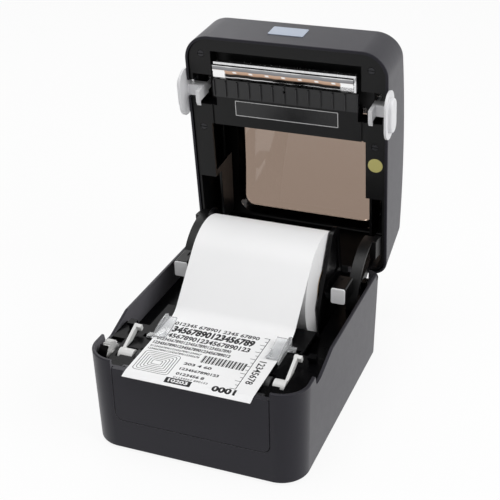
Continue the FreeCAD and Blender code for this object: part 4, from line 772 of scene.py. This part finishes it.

# Coil springs behind the print head and the side latches, wound from ground steel wire. Each one
# sits against its seat in the liner and is listed with the joint that pushes its piece.
SPRING_TRAVELS = {"head_spring_left": "print_head_float", "head_spring_right": "print_head_float",
                  "latch_spring_left": "latch_left_slide", "latch_spring_right": "latch_right_slide"}
for name, joint in SPRING_TRAVELS.items():
    coil = bmesh.new()
    coil.from_mesh(frame["nodes"][name].data)
    bmesh.ops.remove_doubles(coil, verts=coil.verts[:], dist=MERGE_REACH)
    spring = linked(name + "_wire", coil, ground)
    spring.data.shade_smooth()
    spring.data.set_sharp_from_angle(angle=EDGE_ANGLE)
    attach(spring, body_of(name))
    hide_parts(name)
    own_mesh(spring)

# Side latches in light grey ABS, each one moulding with its hook, sliding in the sides of the lid.
# On the lid's top, the green lens of the status light and the glossy black feed button.
LATCH_RADIUS = 0.00025
FEED_RADIUS = 0.0004
pale_grey = moulded("pale_grey_plastic", (0.72, 0.72, 0.735), roughness=0.40, grain_scale=2300.0,
                    grain_height=0.00003, drift=0.03)
for side in ("left", "right"):
    radiused("latch_button_" + side, pale_grey, LATCH_RADIUS)
lens = moulded("light_lens", (0.10, 0.42, 0.16), roughness=0.2, grain_scale=2000.0, grain_height=0.00001,
               drift=0.05)
dress(lens, "status_light")
radiused("feed_button", gloss_black, FEED_RADIUS)

# Floor: a plain flat sheet with a matt pale paint. The camera, the gloss and the clear plastics
# see it as nearly white, and it keeps the shadow of the printer.
FLOOR_HALF = 6.0
FLOOR_WHITE = 0.9
sweep = bmesh.new()
bmesh.ops.create_grid(sweep, x_segments=2, y_segments=2, size=FLOOR_HALF)
floor_paint, floor_shader = shader_of("floor_paint", (0.90, 0.90, 0.90), roughness=0.9)
floor = linked("floor", sweep, floor_paint)
tree = floor_paint.node_tree
rays = tree.nodes.new("ShaderNodeLightPath")
seen = worked(floor_paint, "MAXIMUM", rays.outputs["Is Camera Ray"], rays.outputs["Is Glossy Ray"])
seen = worked(floor_paint, "MAXIMUM", seen, rays.outputs["Is Transmission Ray"])
white_share = range_in(floor_paint, seen, 0.0, FLOOR_WHITE, 0.0, 1.0)
white = tree.nodes.new("ShaderNodeEmission")
blend = tree.nodes.new("ShaderNodeMixShader")
tree.links.new(white_share, blend.inputs["Fac"])
tree.links.new(floor_shader.outputs["BSDF"], blend.inputs[1])
tree.links.new(white.outputs["Emission"], blend.inputs[2])
tree.links.new(blend.outputs["Shader"], tree.nodes["Material Output"].inputs["Surface"])

# Studio light: an even white surround, a broad soft lamp overhead, another at the right, and a
# small weak one behind at the left, aimed at the open lid.
SURROUND_SEEN = 1.0
SURROUND_LIGHT = 0.42
world = bpy.data.worlds.new("studio")
bpy.context.scene.world = world
world.use_nodes = True
back = world.node_tree.nodes["Background"]
back.inputs["Color"].default_value = (1, 1, 1, 1)
rays = world.node_tree.nodes.new("ShaderNodeLightPath")
level = range_in(world, rays.outputs["Is Diffuse Ray"], SURROUND_SEEN, SURROUND_LIGHT, 0.0, 1.0)
world.node_tree.links.new(level, back.inputs["Strength"])


def soft_lamp(name, place, target, size, power):
    lamp = bpy.data.lights.new(name, "AREA")
    lamp.shape = "DISK"
    lamp.size = size
    lamp.energy = power
    holder = bpy.data.objects.new(name, lamp)
    bpy.context.scene.collection.objects.link(holder)
    holder.location = place
    aim = Vector(target) - Vector(place)
    holder.rotation_euler = aim.to_track_quat("-Z", "Y").to_euler()


soft_lamp("overhead_lamp", place=(-0.25, -0.3, 1.9), target=(0, 0, 0.1), size=1.2, power=12.5)
soft_lamp("right_lamp", place=(1.5, -0.3, 1.2), target=(0, 0, 0.1), size=1.2, power=16.0)
soft_lamp("rear_lamp", place=(-0.75, 1.15, 1.15), target=(-0.05, 0.1, 0.28), size=0.5, power=2.0)

# Camera at the photograph's viewpoint, in front of the printer, to its right and above it, with
# a long lens and a square frame.
SENSOR_WIDTH = 36.0
FOCAL_LENGTH = 80.41
CLIP_START = 0.01
CAMERA_RIGHT = Vector((0.93067, 0.36541, -0.01816))
CAMERA_UP = Vector((-0.15362, 0.43535, 0.88706))
CAMERA_BACK = Vector((0.33205, -0.82277, 0.46130))
CAMERA_PLACE = Vector((0.3024, -0.75886, 0.5462))
camera_data = bpy.data.cameras.new("camera")
camera_data.sensor_width = SENSOR_WIDTH
camera_data.lens = FOCAL_LENGTH
camera_data.clip_start = CLIP_START
camera = bpy.data.objects.new("camera", camera_data)
bpy.context.scene.collection.objects.link(camera)
facing = Matrix((CAMERA_RIGHT, CAMERA_UP, CAMERA_BACK)).transposed().to_4x4()
camera.matrix_world = Matrix.Translation(CAMERA_PLACE) @ facing
bpy.context.scene.camera = camera
bpy.context.scene.view_settings.view_transform = "Standard"
